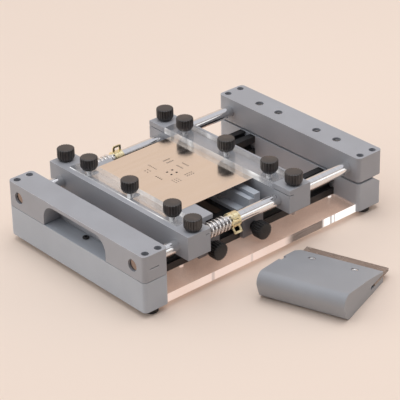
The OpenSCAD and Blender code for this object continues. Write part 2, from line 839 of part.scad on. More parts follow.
module front_right_side_knob() {
    side_knob(1, -1);
}

module front_left_side_knob() {
    side_knob(-1, -1);
}

module front_left_end_knob() {
    knob(-end_stud_x, front_end_y, end_knob_z);
}

module front_left_knob() {
    knob(-stud_x, front_stud_y, clamp_knob_z);
}

module front_middle_knob() {
    knob(0, front_stud_y, clamp_knob_z);
}

module front_right_knob() {
    knob(stud_x, front_stud_y, clamp_knob_z);
}

module front_right_end_knob() {
    knob(end_stud_x, front_end_y, end_knob_z);
}

module rear_left_end_knob() {
    knob(-end_stud_x, rear_end_y, end_knob_z);
}

module rear_left_knob() {
    knob(-stud_x, rear_stud_y, clamp_knob_z);
}

module rear_middle_knob() {
    knob(0, rear_stud_y, clamp_knob_z);
}

module rear_right_knob() {
    knob(stud_x, rear_stud_y, clamp_knob_z);
}

module rear_right_end_knob() {
    knob(end_stud_x, rear_end_y, end_knob_z);
}

// Hinged frame

module arch_section() {
    translate([-arch_w / 2, -over]) square([arch_w, arch_h - arch_r + over]);
    translate([-arch_w / 2 + arch_r, -over]) square([arch_w - 2 * arch_r, arch_h + over]);
    for (s = [-1, 1])
        translate([s * (arch_w / 2 - arch_r), arch_h - arch_r]) circle(arch_r, $fn = fine_fn);
}

function corner_places() = [
    for (s = [-1, 1], place = [
        front_y + corner_share * front_block_d, front_in - corner_share * front_block_d,
        rear_in + corner_share * rear_block_d, rear_y - corner_share * rear_block_d
    ]) [s * corner_x, place]
];

module corner_holes() {
    head_z = upper_top - cap_sink - cap_h;
    for (place = corner_places()) {
        post(place[0], place[1], head_z, upper_top + over, cap_hole_d);
        post(place[0], place[1], head_z - thin_l, head_z + over, thin_d + 2 * seat_gap);
    }
}

module front_upper_block() {
    mark_y = front_mid - block_corner_r / 2;
    color(grey) difference() {
        block(front_mid, front_block_d, upper_low, upper_top);
        translate([0, front_y + arch_d, upper_low]) rotate([90, 0, 0])
            linear_extrude(arch_d + over) arch_section();
        for (s = [-1, 1]) {
            rod_along_y(s * rod_x, rod_z, front_y - over, front_in + over, rod_d + 2 * seat_gap);
            box([s * frame_w / 2 - end_mark_d, mark_y - end_mark_l / 2, rod_z - end_mark_h / 2],
                [s * frame_w / 2 + end_mark_d, mark_y + end_mark_l / 2, rod_z + end_mark_h / 2]);
        }
        corner_holes();
    }
}

module rear_upper_block() {
    color(grey) difference() {
        block(rear_mid, rear_block_d, rear_upper_low, upper_top);
        for (s = [-1, 1]) {
            rod_along_y(s * rod_x, rod_z, rear_in - over, rear_y - rod_stop + seat_gap, rod_d + 2 * seat_gap);
            box([s * hinge_x - hinge_l / 2 - pocket_gap, leaf_back - run_gap, rear_upper_low - over],
                [s * hinge_x + hinge_l / 2 + pocket_gap, rear_y + over, seam_z + barrel_d / 2 + pocket_gap]);
        }
        for (x = hinge_bolts_x) {
            post(x, bolt_y, rear_upper_low - over, upper_top + over, bolt_d + 2 * seat_gap);
            post(x, bolt_y, upper_top - bolt_sink - bolt_head_h, upper_top + over, bolt_hole_d);
        }
        corner_holes();
    }
}

module guide_rod(x) {
    y_from = front_y + rod_sink;
    color(chrome) {
        rod_along_y(x, rod_z, y_from + rod_chamfer, rear_y - rod_stop, rod_d);
        translate([x, y_from, rod_z]) rotate([-90, 0, 0])
            cylinder(h = rod_chamfer, d1 = rod_d - 2 * rod_chamfer, d2 = rod_d);
    }
}

module left_rod() {
    guide_rod(-rod_x);
}

module right_rod() {
    guide_rod(rod_x);
}

module corner_screws() {
    head_z = upper_top - cap_sink - cap_h;
    color(black) for (place = corner_places())
        difference() {
            union() {
                post(place[0], place[1], head_z - thin_l + seat_gap, head_z, thin_d);
                post(place[0], place[1], head_z, head_z + cap_h, cap_d);
            }
            translate([place[0], place[1], head_z + cap_h / 2])
                cylinder(h = cap_h, d = cap_d / 2, $fn = hex_fn);
        }
}

module hinge_upper_leaves() {
    leaf_low = seam_z + leaf_gap_half;
    color(steel) leaf(leaf_low, leaf_low + leaf_t, [1])
        for (x = hinge_bolts_x)
            post(x, bolt_y, leaf_low - over, leaf_low + leaf_t + over, bolt_d + 2 * seat_gap);
}

module hinge_bolts() {
    head_z = upper_top - bolt_sink - bolt_head_h;
    color(steel) for (x = hinge_bolts_x)
        difference() {
            union() {
                post(x, bolt_y, seam_z + leaf_gap_half, head_z, bolt_d);
                post(x, bolt_y, head_z, head_z + bolt_head_h, bolt_head_d);
            }
            translate([x, bolt_y, head_z + bolt_head_h / 2])
                cylinder(h = bolt_head_h, d = bolt_head_d / 2, $fn = hex_fn);
        }
}

// Band clips with a window tab, and the springs between clips and carriage

module clip(x, turn) {
    inner = rod_d + 2 * seat_gap;
    outer = inner + 2 * band_t;
    tab_from = inner / 2 + band_t / 2;
    tab_to = outer / 2 + tab_reach;
    ear_y = [clip_w / 2 - ear_w / 2, clip_w / 2 + ear_w / 2];
    color(zinc) translate([x, clip_y, rod_z]) difference() {
        union() {
            rotate([-90, 0, 0]) cylinder(h = clip_w, d = outer);
            rotate([0, -turn, 0]) box([tab_from, 0, -tab_t / 2], [tab_to, clip_w, tab_t / 2]);
            rotate([0, -turn - ear_turn, 0])
                box([tab_from, ear_y[0], -tab_t / 2], [outer / 2 + ear_reach, ear_y[1], tab_t / 2]);
        }
        translate([0, -over, 0]) rotate([-90, 0, 0]) cylinder(h = clip_w + 2 * over, d = inner);
        rotate([0, -turn, 0])
            box([outer / 2 + tab_rim / 2, tab_rim, -tab_t], [tab_to - tab_rim, clip_w - tab_rim, tab_t]);
        rotate([0, -turn - ear_turn, 0])
            box([tab_from, ear_y[0], -tab_t / 2 - ear_w / 2], [outer / 2 + over, ear_y[1], -tab_t / 2]);
    }
}

module left_clip() {
    clip(-rod_x, left_tab_turn);
}

module right_clip() {
    clip(rod_x, right_tab_turn);
}

// The wire's path unrolled: distance around the rod, then distance along it.
// It starts straight, bends into the curls and ends straight again.
bend_end = 90 - lead;
bend_around = bend_r * (1 - cos(bend_end));
curl_around = 2 * PI * ring_r * curl_part;
curl_from = straight_l + bend_r * sin(bend_end);
curl_steps = round(curl_part * rings_per_curl);
wire_path = concat(
    [[0, 0]],
    [for (i = [0 : bend_steps])
        let (turn = bend_end * i / bend_steps)
        [bend_r * (1 - cos(turn)), straight_l + bend_r * sin(turn)]],
    [for (i = [1 : curl_steps - 1])
        [bend_around + curl_around * i / curl_steps, curl_from + curl_part * curl_rise * i / curl_steps]],
    [for (i = [0 : bend_steps])
        let (turn = bend_end * (bend_steps - i) / bend_steps)
        [2 * bend_around + curl_around - bend_r * (1 - cos(turn)),
            spring_l - straight_l - bend_r * sin(turn)]],
    [[2 * bend_around + curl_around, spring_l]]
);
path_n = len(wire_path);

function around(p) = let (turn = p[0] / ring_r * 180 / PI)
    [ring_r * cos(turn), p[1], ring_r * sin(turn)];

function heading(i) =
    i == 0 || i == path_n - 1 ? [0, 1, 0] :
    let (step = around(wire_path[i + 1]) - around(wire_path[i - 1])) step / norm(step);

function tube_ring(i) =
    let (turn = wire_path[i][0] / ring_r * 180 / PI)
    let (mid = around(wire_path[i]))
    let (out = [cos(turn), 0, sin(turn)])
    let (side_raw = cross(heading(i), out))
    let (side = side_raw / norm(side_raw))
    [for (k = [0 : tube_sides - 1])
        let (a = 360 * (k + 0.5) / tube_sides)
        mid + wire_d / 2 * (cos(a) * out + sin(a) * side)];

spring_points = [for (i = [0 : path_n - 1]) each tube_ring(i)];

tube_faces = [
    for (i = [0 : path_n - 2], k = [0 : tube_sides - 1])
        let (next = (k + 1) % tube_sides)
        each [
            [i * tube_sides + k, i * tube_sides + next, (i + 1) * tube_sides + next],
            [i * tube_sides + k, (i + 1) * tube_sides + next, (i + 1) * tube_sides + k]
        ]
];
cap_faces = [
    for (k = [1 : tube_sides - 2])
        each [
            [0, k + 1, k],
            [(path_n - 1) * tube_sides, (path_n - 1) * tube_sides + k, (path_n - 1) * tube_sides + k + 1]
        ]
];

// Least gap of the wire to itself, measured on its middle line away from neighbours
wire_mids = [for (p = wire_path) around(p)];
apart_steps = bend_steps + 2;
least_gap = min([
    for (i = [0 : path_n - 1 - apart_steps - 1], j = [i + apart_steps + 1 : path_n - 1])
        norm(wire_mids[i] - wire_mids[j])
]) - wire_d;
echo(least_spring_gap = least_gap);

module spring(x) {
    color(steel) translate([x, spring_y, rod_z])
        polyhedron(points = spring_points, faces = concat(tube_faces, cap_faces), convexity = curl_count);
}

module left_spring() {
    spring(-rod_x);
}

module right_spring() {
    spring(rod_x);
}

// Carriages, their studs, clamp bars and washers

module carriage(y_from, recess_from, recess_to, slot_from, slot_to, stud_y, end_y) {
    y_to = y_from + carriage_d;
    difference() {
        box([-carriage_w / 2, y_from, carriage_low], [carriage_w / 2, y_to, carriage_top]);
        box([-recess_w / 2, recess_from, floor_top], [recess_w / 2, recess_to, carriage_top + over]);
        for (s = [-1, 1])
            rod_along_y(s * rod_x, rod_z, y_from - over, y_to + over, rod_d + 2 * run_gap);
        box([-carriage_w, slot_from, floor_top], [carriage_w, slot_to, floor_top + end_slot_h]);
        for (x = [-stud_x, 0, stud_x])
            post(x, stud_y, floor_top - stud_sink, floor_top + over, stud_d + 2 * seat_gap);
        for (x = [-end_stud_x, end_stud_x])
            post(x, end_y, carriage_top - stud_sink, carriage_top + over, stud_d + 2 * seat_gap);
    }
}

module front_carriage() {
    color(grey) {
        carriage(front_car, front_car + front_lip_w, front_car_back + over,
            front_car_back - end_slot_d, front_car_back + over, front_stud_y, front_end_y);
        box([-ledge_w / 2, front_car_back - seat_gap, floor_top - ledge_t],
            [ledge_w / 2, front_car_back + ledge_reach, floor_top]);
    }
}

module rear_carriage() {
    color(grey) carriage(rear_car, rear_car - over, rear_car_back - rear_lip_w,
        rear_car - over, rear_car + end_slot_d, rear_stud_y, rear_end_y);
}

module clamp_bar(y_from, depth, stud_y) {
    y_to = y_from + depth;
    color(clear) difference() {
        translate([-clamp_w / 2, 0, 0]) rotate([90, 0, 90]) linear_extrude(clamp_w)
            polygon([
                [y_from, clamp_low], [y_to, clamp_low], [y_to, clamp_top - clamp_bevel],
                [y_to - clamp_bevel, clamp_top], [y_from + clamp_bevel, clamp_top],
                [y_from, clamp_top - clamp_bevel]
            ]);
        for (x = [-stud_x, 0, stud_x])
            post(x, stud_y, clamp_low - over, clamp_top + over, stud_d + 2 * bar_gap);
    }
}

module front_clamp_bar() {
    clamp_bar(front_clamp_y, front_clamp_d, front_stud_y);
}

module rear_clamp_bar() {
    clamp_bar(rear_clamp_y, rear_clamp_d, rear_stud_y);
}

module studs(stud_y, end_y) {
    color(steel) {
        for (x = [-stud_x, 0, stud_x])
            post(x, stud_y, floor_top - stud_sink, clamp_knob_z + stud_share * knob_h, stud_d);
        for (x = [-end_stud_x, end_stud_x])
            post(x, end_y, carriage_top - stud_sink, end_knob_z + stud_share * knob_h, stud_d);
    }
}

module front_studs() {
    studs(front_stud_y, front_end_y);
}

module rear_studs() {
    studs(rear_stud_y, rear_end_y);
}

module washers(stud_y) {
    color(steel) for (x = [-stud_x, 0, stud_x])
        difference() {
            translate([x, stud_y, clamp_top]) cylinder(h = washer_t, d = washer_d);
            post(x, stud_y, clamp_top - over, clamp_top + washer_t + over, stud_d + 2 * run_gap);
        }
}

module front_washers() {
    washers(front_stud_y);
}

module rear_washers() {
    washers(rear_stud_y);
}

// Stencil: a foil with open notches at the front studs and rows of apertures.
// Each entry is the group's corner on the grid, its columns and rows, the steps
// between apertures and the aperture's size, all counted in grid steps or sides.
aperture_groups = [
    [-8, 3, 2, 5, 1.6, 0.55, 2, 0.9],
    [-3, 4, 5, 2, 0.6, 2.2, 0.9, 1.8],
    [3, 2, 2, 4, 1, 0.8, 1.2, 1.4],
    [-9, -2, 6, 1, 0.7, 1, 1, 1.4],
    [-2, -1, 2, 2, 2, 2, 2.2, 2.2],
    [3, -3, 3, 3, 0.9, 0.9, 1.1, 1.1],
    [-7, -5, 2, 2, 1.1, 1, 1.6, 1],
    [-2, -5, 4, 1, 0.8, 1, 1, 2]
];

module apertures() {
    mid_x = (foil_right - foil_left) / 2;
    mid_y = (front_car_back + rear_car) / 2;
    for (g = aperture_groups, i = [0 : g[2] - 1], j = [0 : g[3] - 1])
        translate([mid_x + aperture_grid * (g[0] + i * g[4]), mid_y + aperture_grid * (g[1] + j * g[5])])
            square([g[6] * aperture_s, g[7] * aperture_s]);
}

module stencil() {
    y_from = front_car + foil_front_in;
    y_to = rear_car + foil_rear_in;
    color(chrome) translate([0, 0, foil_low]) linear_extrude(foil_t) difference() {
        translate([-foil_left, y_from]) square([foil_left + foil_right, y_to - y_from]);
        for (x = [-stud_x, 0]) {
            translate([x - notch_w / 2, y_from - over]) square([notch_w, notch_l - notch_w / 2 + over]);
            translate([x, y_from + notch_l - notch_w / 2]) circle(d = notch_w);
        }
        apertures();
    }
}

// Squeegee, drawn at its own left front corner and then laid on the bench

module at_squeegee() {
    translate([frame_w / 2 + sq_gap, sq_y, floor_z]) rotate([0, 0, sq_turn]) children();
}

module nose_section() {
    translate(low_c) circle(nose_low_r);
    translate(top_c) circle(nose_top_r);
    polygon([
        [low_c[0], 0], [sq_d, 0], [sq_d, sq_rear_h], [sq_crease, crease_z], slope_p,
        top_c + nose_top_r * tangent_n, low_c + nose_low_r * tangent_n
    ]);
}

module squeegee_handle() {
    notch_y = sq_crease - sq_notch_l / 2;
    color(grey) at_squeegee() difference() {
        rotate([90, 0, 90]) linear_extrude(sq_l) nose_section();
        box([-over, blade_in - slot_spare, blade_z - seat_gap],
            [sq_l + over, sq_d + over, blade_z + blade_t + seat_gap]);
        for (u = sq_screw_u) {
            post(u, sq_screw_in, sq_head_z, sq_h, sq_head_d + 2 * bar_gap);
            post(u, sq_screw_in, sq_tip_z, sq_h, thin_d + 2 * seat_gap);
        }
        translate([0, 0, -over]) linear_extrude(sq_h + 2 * over)
            polygon([[-over, sq_d - sq_corner_d], [0, sq_d - sq_corner_d], [sq_corner_w, sq_d],
                [sq_corner_w, sq_d + over], [-over, sq_d + over]]);
        box([-over, notch_y, -over], [sq_notch_w, notch_y + sq_notch_l, sq_h]);
    }
}

module squeegee_blade() {
    color(amber) at_squeegee() difference() {
        box([sq_corner_w, blade_in, blade_z], [sq_l, sq_d + blade_out, blade_z + blade_t]);
        for (u = sq_screw_u)
            post(u, sq_screw_in, 0, sq_h, thin_d + 2 * seat_gap);
    }
}

module squeegee_screws() {
    color(steel) at_squeegee() for (u = sq_screw_u) {
        post(u, sq_screw_in, sq_tip_z + seat_gap, sq_head_z, thin_d);
        post(u, sq_screw_in, sq_head_z, sq_head_z + sq_head_h, sq_head_d);
    }
}

base_plate();
front_lower_block();
rear_lower_block();
left_rail();
right_rail();
rail_nuts();
plate_screws();
feet();
front_seat_screw();
hinge_lower_leaves();
hinge_lower_screws();
hinge_pins();
rear_cross_bar();
rear_jaw();
rear_brackets();
rear_bracket_screws();
rear_holder_bolts();
front_cross_bar();
front_jaw();
front_brackets();
front_bracket_screws();
front_holder_bolts();
rear_right_side_knob();
rear_left_side_knob();
front_right_side_knob();
front_left_side_knob();
front_upper_block();
rear_upper_block();
left_rod();
right_rod();
corner_screws();
hinge_upper_leaves();
hinge_bolts();
left_clip();
right_clip();
left_spring();
right_spring();
front_carriage();
front_clamp_bar();
front_studs();
front_washers();
front_left_end_knob();
front_left_knob();
front_middle_knob();
front_right_knob();
front_right_end_knob();
rear_carriage();
rear_clamp_bar();
rear_studs();
rear_washers();
stencil();
rear_left_end_knob();
rear_left_knob();
rear_middle_knob();
rear_right_knob();
rear_right_end_knob();
squeegee_handle();
squeegee_blade();
squeegee_screws();
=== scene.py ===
import json

import bpy
import numpy as np
from mathutils import Matrix, Vector

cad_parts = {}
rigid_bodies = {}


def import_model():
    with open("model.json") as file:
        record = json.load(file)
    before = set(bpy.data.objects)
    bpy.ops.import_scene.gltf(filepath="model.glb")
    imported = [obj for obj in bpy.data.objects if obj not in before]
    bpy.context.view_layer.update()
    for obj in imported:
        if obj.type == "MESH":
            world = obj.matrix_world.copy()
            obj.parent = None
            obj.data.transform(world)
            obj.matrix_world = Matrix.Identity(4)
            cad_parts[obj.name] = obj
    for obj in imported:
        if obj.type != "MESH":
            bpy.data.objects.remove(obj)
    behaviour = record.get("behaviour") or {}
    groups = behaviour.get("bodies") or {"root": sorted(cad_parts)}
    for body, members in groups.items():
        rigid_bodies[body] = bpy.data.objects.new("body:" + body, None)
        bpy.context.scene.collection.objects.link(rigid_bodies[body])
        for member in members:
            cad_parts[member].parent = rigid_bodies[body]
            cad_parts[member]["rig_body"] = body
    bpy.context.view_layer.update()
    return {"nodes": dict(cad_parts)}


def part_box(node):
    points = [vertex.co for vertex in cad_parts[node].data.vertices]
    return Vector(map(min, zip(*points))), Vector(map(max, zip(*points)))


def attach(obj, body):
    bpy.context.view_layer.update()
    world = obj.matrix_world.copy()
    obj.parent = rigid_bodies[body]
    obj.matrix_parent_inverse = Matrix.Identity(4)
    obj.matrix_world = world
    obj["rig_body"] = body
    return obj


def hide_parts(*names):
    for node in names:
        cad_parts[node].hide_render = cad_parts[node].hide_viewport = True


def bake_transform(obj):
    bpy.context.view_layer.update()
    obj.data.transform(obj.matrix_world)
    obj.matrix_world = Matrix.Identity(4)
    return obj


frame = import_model()
nodes = frame["nodes"]
mm = 0.001
print("frame:", len(nodes), "CAD nodes")


# Shader wiring

class Wire:
    # an output socket that can be used in sums, which add Math nodes
    def __init__(self, finish, socket):
        self.finish = finish
        self.socket = socket

    def __add__(self, other):
        return self.finish.calc("ADD", self, other)

    def __sub__(self, other):
        return self.finish.calc("SUBTRACT", self, other)

    def __rsub__(self, other):
        return self.finish.calc("SUBTRACT", other, self)

    def __mul__(self, other):
        return self.finish.calc("MULTIPLY", self, other)

    def __pow__(self, other):
        return self.finish.calc("POWER", self, other)

    __radd__ = __add__
    __rmul__ = __mul__


class Finish:
    # one material, or the sky, while it is being wired
    def __init__(self, name, owner=None):
        self.material = owner or bpy.data.materials.new(name)
        self.material.use_nodes = True
        self.tree = self.material.node_tree
        self.tree.nodes.clear()
        self.place = self.node("ShaderNodeTexCoord", output="Generated" if owner else "Object")

    def node(self, kind, settings=None, sockets=None, output=0):
        made = self.tree.nodes.new(kind)
        for key, value in (settings or {}).items():
            setattr(made, key, value)
        for key, value in (sockets or {}).items():
            if isinstance(value, Wire):
                self.tree.links.new(value.socket, made.inputs[key])
            elif isinstance(value, tuple) and made.inputs[key].type == "RGBA":
                made.inputs[key].default_value = (*value, 1)
            else:
                made.inputs[key].default_value = value
        return Wire(self, made.outputs[output]) if made.outputs else made

    def calc(self, operation, first, second):
        return self.node("ShaderNodeMath", {"operation": operation}, {0: first, 1: second})

    def stretched(self, scale):
        # the object's coordinates, scaled by a different amount along x, y and z
        return self.node("ShaderNodeMapping", {}, {"Vector": self.place, "Scale": scale})

    def alongY(self):
        # the object's y in metres
        return self.node("ShaderNodeSeparateXYZ", {}, {0: self.place}, output=1)

    def noise(self, scale, detail=2.0, rough=0.5, place=None):
        return self.node("ShaderNodeTexNoise", {}, {
            "Vector": place or self.place, "Scale": scale, "Detail": detail, "Roughness": rough})

    def lined(self, scale, detail=2.0, rough=0.6):
        # noise drawn out into lines, or left even where the three scales are alike
        return self.noise(1.0, detail, rough, self.stretched(scale))

    def span(self, value, low=0.3, high=0.7, fromValue=0.0, toValue=1.0):
        # a value carried smoothly from one range to another
        return self.node("ShaderNodeMapRange", {"interpolation_type": "SMOOTHSTEP"}, {
            "Value": value, "From Min": low, "From Max": high,
            "To Min": fromValue, "To Max": toValue})

    def tint(self, factor, first, second):
        # a colour between two colours
        return self.node("ShaderNodeMix", {"data_type": "RGBA"},
                         {0: factor, 6: first, 7: second}, output=2)

    def marked(self, name):
        # 1 on the faces that soften() marks as edge or as long side, 0 elsewhere
        return self.node("ShaderNodeAttribute", {"attribute_name": name}, output="Fac")

    def blendShaders(self, factor, first, second):
        return self.node("ShaderNodeMixShader", {}, {0: factor, 1: first, 2: second})

    def bump(self, height, strength, distance):
        return self.node("ShaderNodeBump", {}, {
            "Height": height, "Strength": strength, "Distance": distance * mm})

    def shader(self, sockets):
        return self.node("ShaderNodeBsdfPrincipled", {}, sockets)

    def end(self, sockets):
        self.node("ShaderNodeOutputMaterial", {}, {"Surface": self.shader(sockets)})
        return self.material


def coatedGrey(name, spec):
    # a bead-blasted and anodised surface: fine grain, faint clouding, edges rubbed lighter
    f = Finish(name)
    cloud = f.noise(spec["cloud"], detail=3.0, rough=0.55)
    grain = f.noise(spec["grain"], rough=0.6)
    rub = f.marked("edge") * f.span(f.noise(spec["rubPatch"]), 0.32, 0.62)
    colour = f.tint(f.span(cloud), spec["dark"], spec["light"])
    colour = f.tint(rub * spec["rub"], colour, spec["worn"])
    colour = f.tint(f.span(grain, 0.42, 0.75) * spec["speck"], colour, spec["speckColour"])
    least, most = spec["rough"]
    return f.end({
        "Base Color": colour, "Metallic": 0.0,
        "Roughness": f.span(cloud, 0.25, 0.75, least, most) - rub * spec["rubGloss"],
        "Normal": f.bump(grain, spec["bump"], 0.04)})


def blackBarFinish(name, spec):
    # a black anodised extrusion: fine lines along its length from the die
    f = Finish(name)
    lines = f.lined(spec["lines"])
    rub = f.marked("edge") * f.span(f.noise(spec["rubPatch"]), 0.4)
    colour = f.tint(f.span(f.noise(spec["cloud"])), spec["dark"], spec["light"])
    least, most = spec["rough"]
    return f.end({
        "Base Color": f.tint(rub * spec["rub"], colour, spec["worn"]), "Metallic": 0.0,
        "Roughness": f.span(lines, fromValue=least, toValue=most),
        "Specular IOR Level": spec["shine"], "Normal": f.bump(lines, spec["bump"], 0.05)})


def brightMetal(name, spec):
    # a bright metal: lines from grinding or rolling, and dull patches where it was handled
    f = Finish(name)
    lines = f.lined(spec["lines"], detail=3.0, rough=0.65)
    dull = f.span(f.noise(spec["patch"], detail=3.0, rough=0.6), 0.45, 0.75)
    colour = f.tint(f.span(lines, 0.25, 0.75), spec["dark"], spec["light"])
    colour = f.tint(dull * spec["tarnish"], colour, spec["tarnishColour"])
    if "endFaceY" in spec:
        # painted reflection: the end face is a duller brown, the warm floor it mirrors, up to this
        # place along y
        past = f.span(f.alongY(), spec["endFaceY"], spec["endFaceY"] + 0.4 * mm)
        colour = f.tint(past, spec["endReflectionColour"], colour)
    rough = f.span(lines, fromValue=spec["rough"], toValue=spec["rough"] * spec["lineRough"])
    return f.end({
        "Base Color": colour, "Roughness": rough + dull * spec["dullRough"], "Metallic": 1.0,
        "Normal": f.bump(lines, spec["bump"], 0.03)})


def mouldedBlack(name, spec):
    # moulded plastic or rubber: a fine moulded grain, dusty in patches; on the end knobs the dust
    # colour also paints a warm sheen
    f = Finish(name)
    grain = f.noise(spec["grain"], detail=3.0, rough=0.6)
    dust = f.span(f.noise(spec["dustPatch"], detail=4.0, rough=0.7), 0.42, 0.8)
    least, most = spec["rough"]
    return f.end({
        "Base Color": f.tint(dust * spec["dust"], spec["colour"], spec["dustAndSheenColour"]),
        "Roughness": f.span(grain, fromValue=least, toValue=most), "Metallic": 0.0,
        "Specular IOR Level": spec["shine"], "Normal": f.bump(grain, spec["bump"], 0.05)})


def sideColour(f, spec):
    # painted light on a long sawn side: bands of painted gathered light and, where the piece has
    # them, a length of painted dark reflection, a painted bright reflection past it and narrow
    # painted reflections, at places along the object's y
    bands = f.span(f.lined(spec["bands"], rough=0.5), 0.4, 0.6)
    colour = f.tint(bands, spec["sideDark"], spec["sideLight"])
    if "darkReflectionLength" in spec:
        streaks = f.span(f.lined(spec["streaks"]), 0.35)
        along = f.alongY()
        start, stop = spec["darkReflectionLength"]
        past = f.span(along, stop - spec["stopFade"], stop + spec["stopFade"])
        begun = f.span(along, start - spec["startFade"][0], start + spec["startFade"][1])
        # painted reflection: a dark length along y, and past it a bright one
        dull = begun * (1 - past) * (1 - spec["streakShare"] + spec["streakShare"] * streaks)
        colour = f.tint(dull, colour, spec["sideDarkReflection"])
        bright = f.tint(streaks * spec["brightReflectionStreak"], spec["sideBrightReflection"], spec["sideLight"])
        colour = f.tint(past, colour, bright)
        # painted reflections: narrow dark marks at set places along y
        for place, wide, share in spec["marks"]:
            away = f.calc("ABSOLUTE", along - place, 0.0)
            colour = f.tint((1 - f.span(away, wide * 0.3, wide)) * share, colour,
                            spec["sideMarkReflection"])
    return colour


def clearAcrylic(name, spec):
    # clear cast acrylic: faintly milky with a painted glow, glossier where it is seen aslant, and
    # long sawn sides that glow with painted light and painted reflections
    f = Finish(name)
    smear = f.span(f.lined(spec["smear"], detail=3.0), 0.4, 0.75)
    saw = f.noise(spec["saw"], detail=1.0)
    through = f.node("ShaderNodeBsdfTransparent", {}, {"Color": spec["tint"]})
    cloudy = f.tint(smear, spec["glowingMilkDark"], spec["glowingMilkLight"])
    # painted light: the milky layer glows with its own colour
    glowingMilk = f.shader({
        "Base Color": cloudy, "Roughness": 0.5, "Metallic": 0.0,
        "Emission Color": cloudy, "Emission Strength": spec["milkPaintedGlow"]})
    gloss = f.shader({
        "Base Color": f.tint(saw, (0.92, 0.92, 0.93), (1.0, 1.0, 1.0)), "Metallic": 1.0,
        "Roughness": smear * spec["smearRough"] + spec["rough"],
        "Normal": f.bump(smear, 0.02, 0.2)})
    body = f.blendShaders(smear * spec["haze"] + spec["glowingMilk"], through, glowingMilk)
    aslant = f.node("ShaderNodeLayerWeight", {}, {"Blend": 0.5}, output=1)
    shine = aslant ** spec["aslantPower"] * spec["aslantShare"] + spec["gleam"]
    clear = f.blendShaders(shine, body, gloss)
    colour = sideColour(f, spec)
    least, most = spec["sideRough"]
    # painted light: the sides glow with their painted colour, their own colour darkened by
    # sideSoak
    side = f.shader({
        "Base Color": f.tint(spec["sideSoak"], colour, (0.0, 0.0, 0.0)), "Metallic": 0.0,
        "Roughness": f.span(saw, fromValue=least, toValue=most),
        "Emission Color": colour, "Emission Strength": spec["glow"],
        "Normal": f.bump(saw, 0.05, 0.04)})
    patches = f.lined(spec["patches"], detail=1.5, rough=0.5)
    share = f.span(patches, 0.5, 0.6, *spec["sideShare"])
    lit = f.blendShaders(f.marked("side") * share, clear, side)
    f.node("ShaderNodeOutputMaterial", {}, {"Surface": lit})
    return f.material


def amberRubber(name, spec):
    # cast polyurethane: see-through brown, cloudy inside, dull along the wiping edge
    f = Finish(name)
    cloud = f.noise(spec["cloud"], detail=3.0, rough=0.6)
    scuff = f.span(f.lined(spec["scuff"], detail=3.0, rough=0.7), 0.4, 0.75)
    return f.end({
        "Base Color": f.tint(f.span(cloud), spec["dark"], spec["light"]),
        "Roughness": scuff * spec["scuffRough"] + spec["rough"]
        + f.marked("edge") * spec["edgeRough"],
        "Metallic": 0.0, "IOR": 1.5, "Transmission Weight": spec["clear"],
        "Normal": f.bump(scuff, spec["bump"], 0.05)})


# what alike finishes share; patch and line sizes are noise scales, so larger is finer
grey = dict(
    cloud=28.0, grain=1900.0, rough=(0.40, 0.49), bump=0.22, rub=0.5, rubPatch=120.0,
    rubGloss=0.12, worn=(0.66, 0.665, 0.68), speck=0.10, speckColour=(0.60, 0.60, 0.62))
blackBar = dict(
    dark=(0.010, 0.010, 0.011), light=(0.017, 0.017, 0.018), cloud=40.0, rub=0.45,
    rubPatch=160.0, worn=(0.09, 0.09, 0.095), rough=(0.29, 0.43), shine=0.55, bump=0.12)
steel = dict(
    lines=(500.0, 500.0, 500.0), lineRough=1.7, patch=70.0, tarnish=0.25,
    tarnishColour=(0.42, 0.39, 0.36), dullRough=0.05, bump=0.10)
knobPlastic = dict(grain=1500.0, dustPatch=90.0, rough=(0.33, 0.45), bump=0.25)
acrylic = dict(saw=900.0, smearRough=0.12, aslantPower=5, aslantShare=0.9,
               sideRough=(0.12, 0.22), sideSoak=0.46)

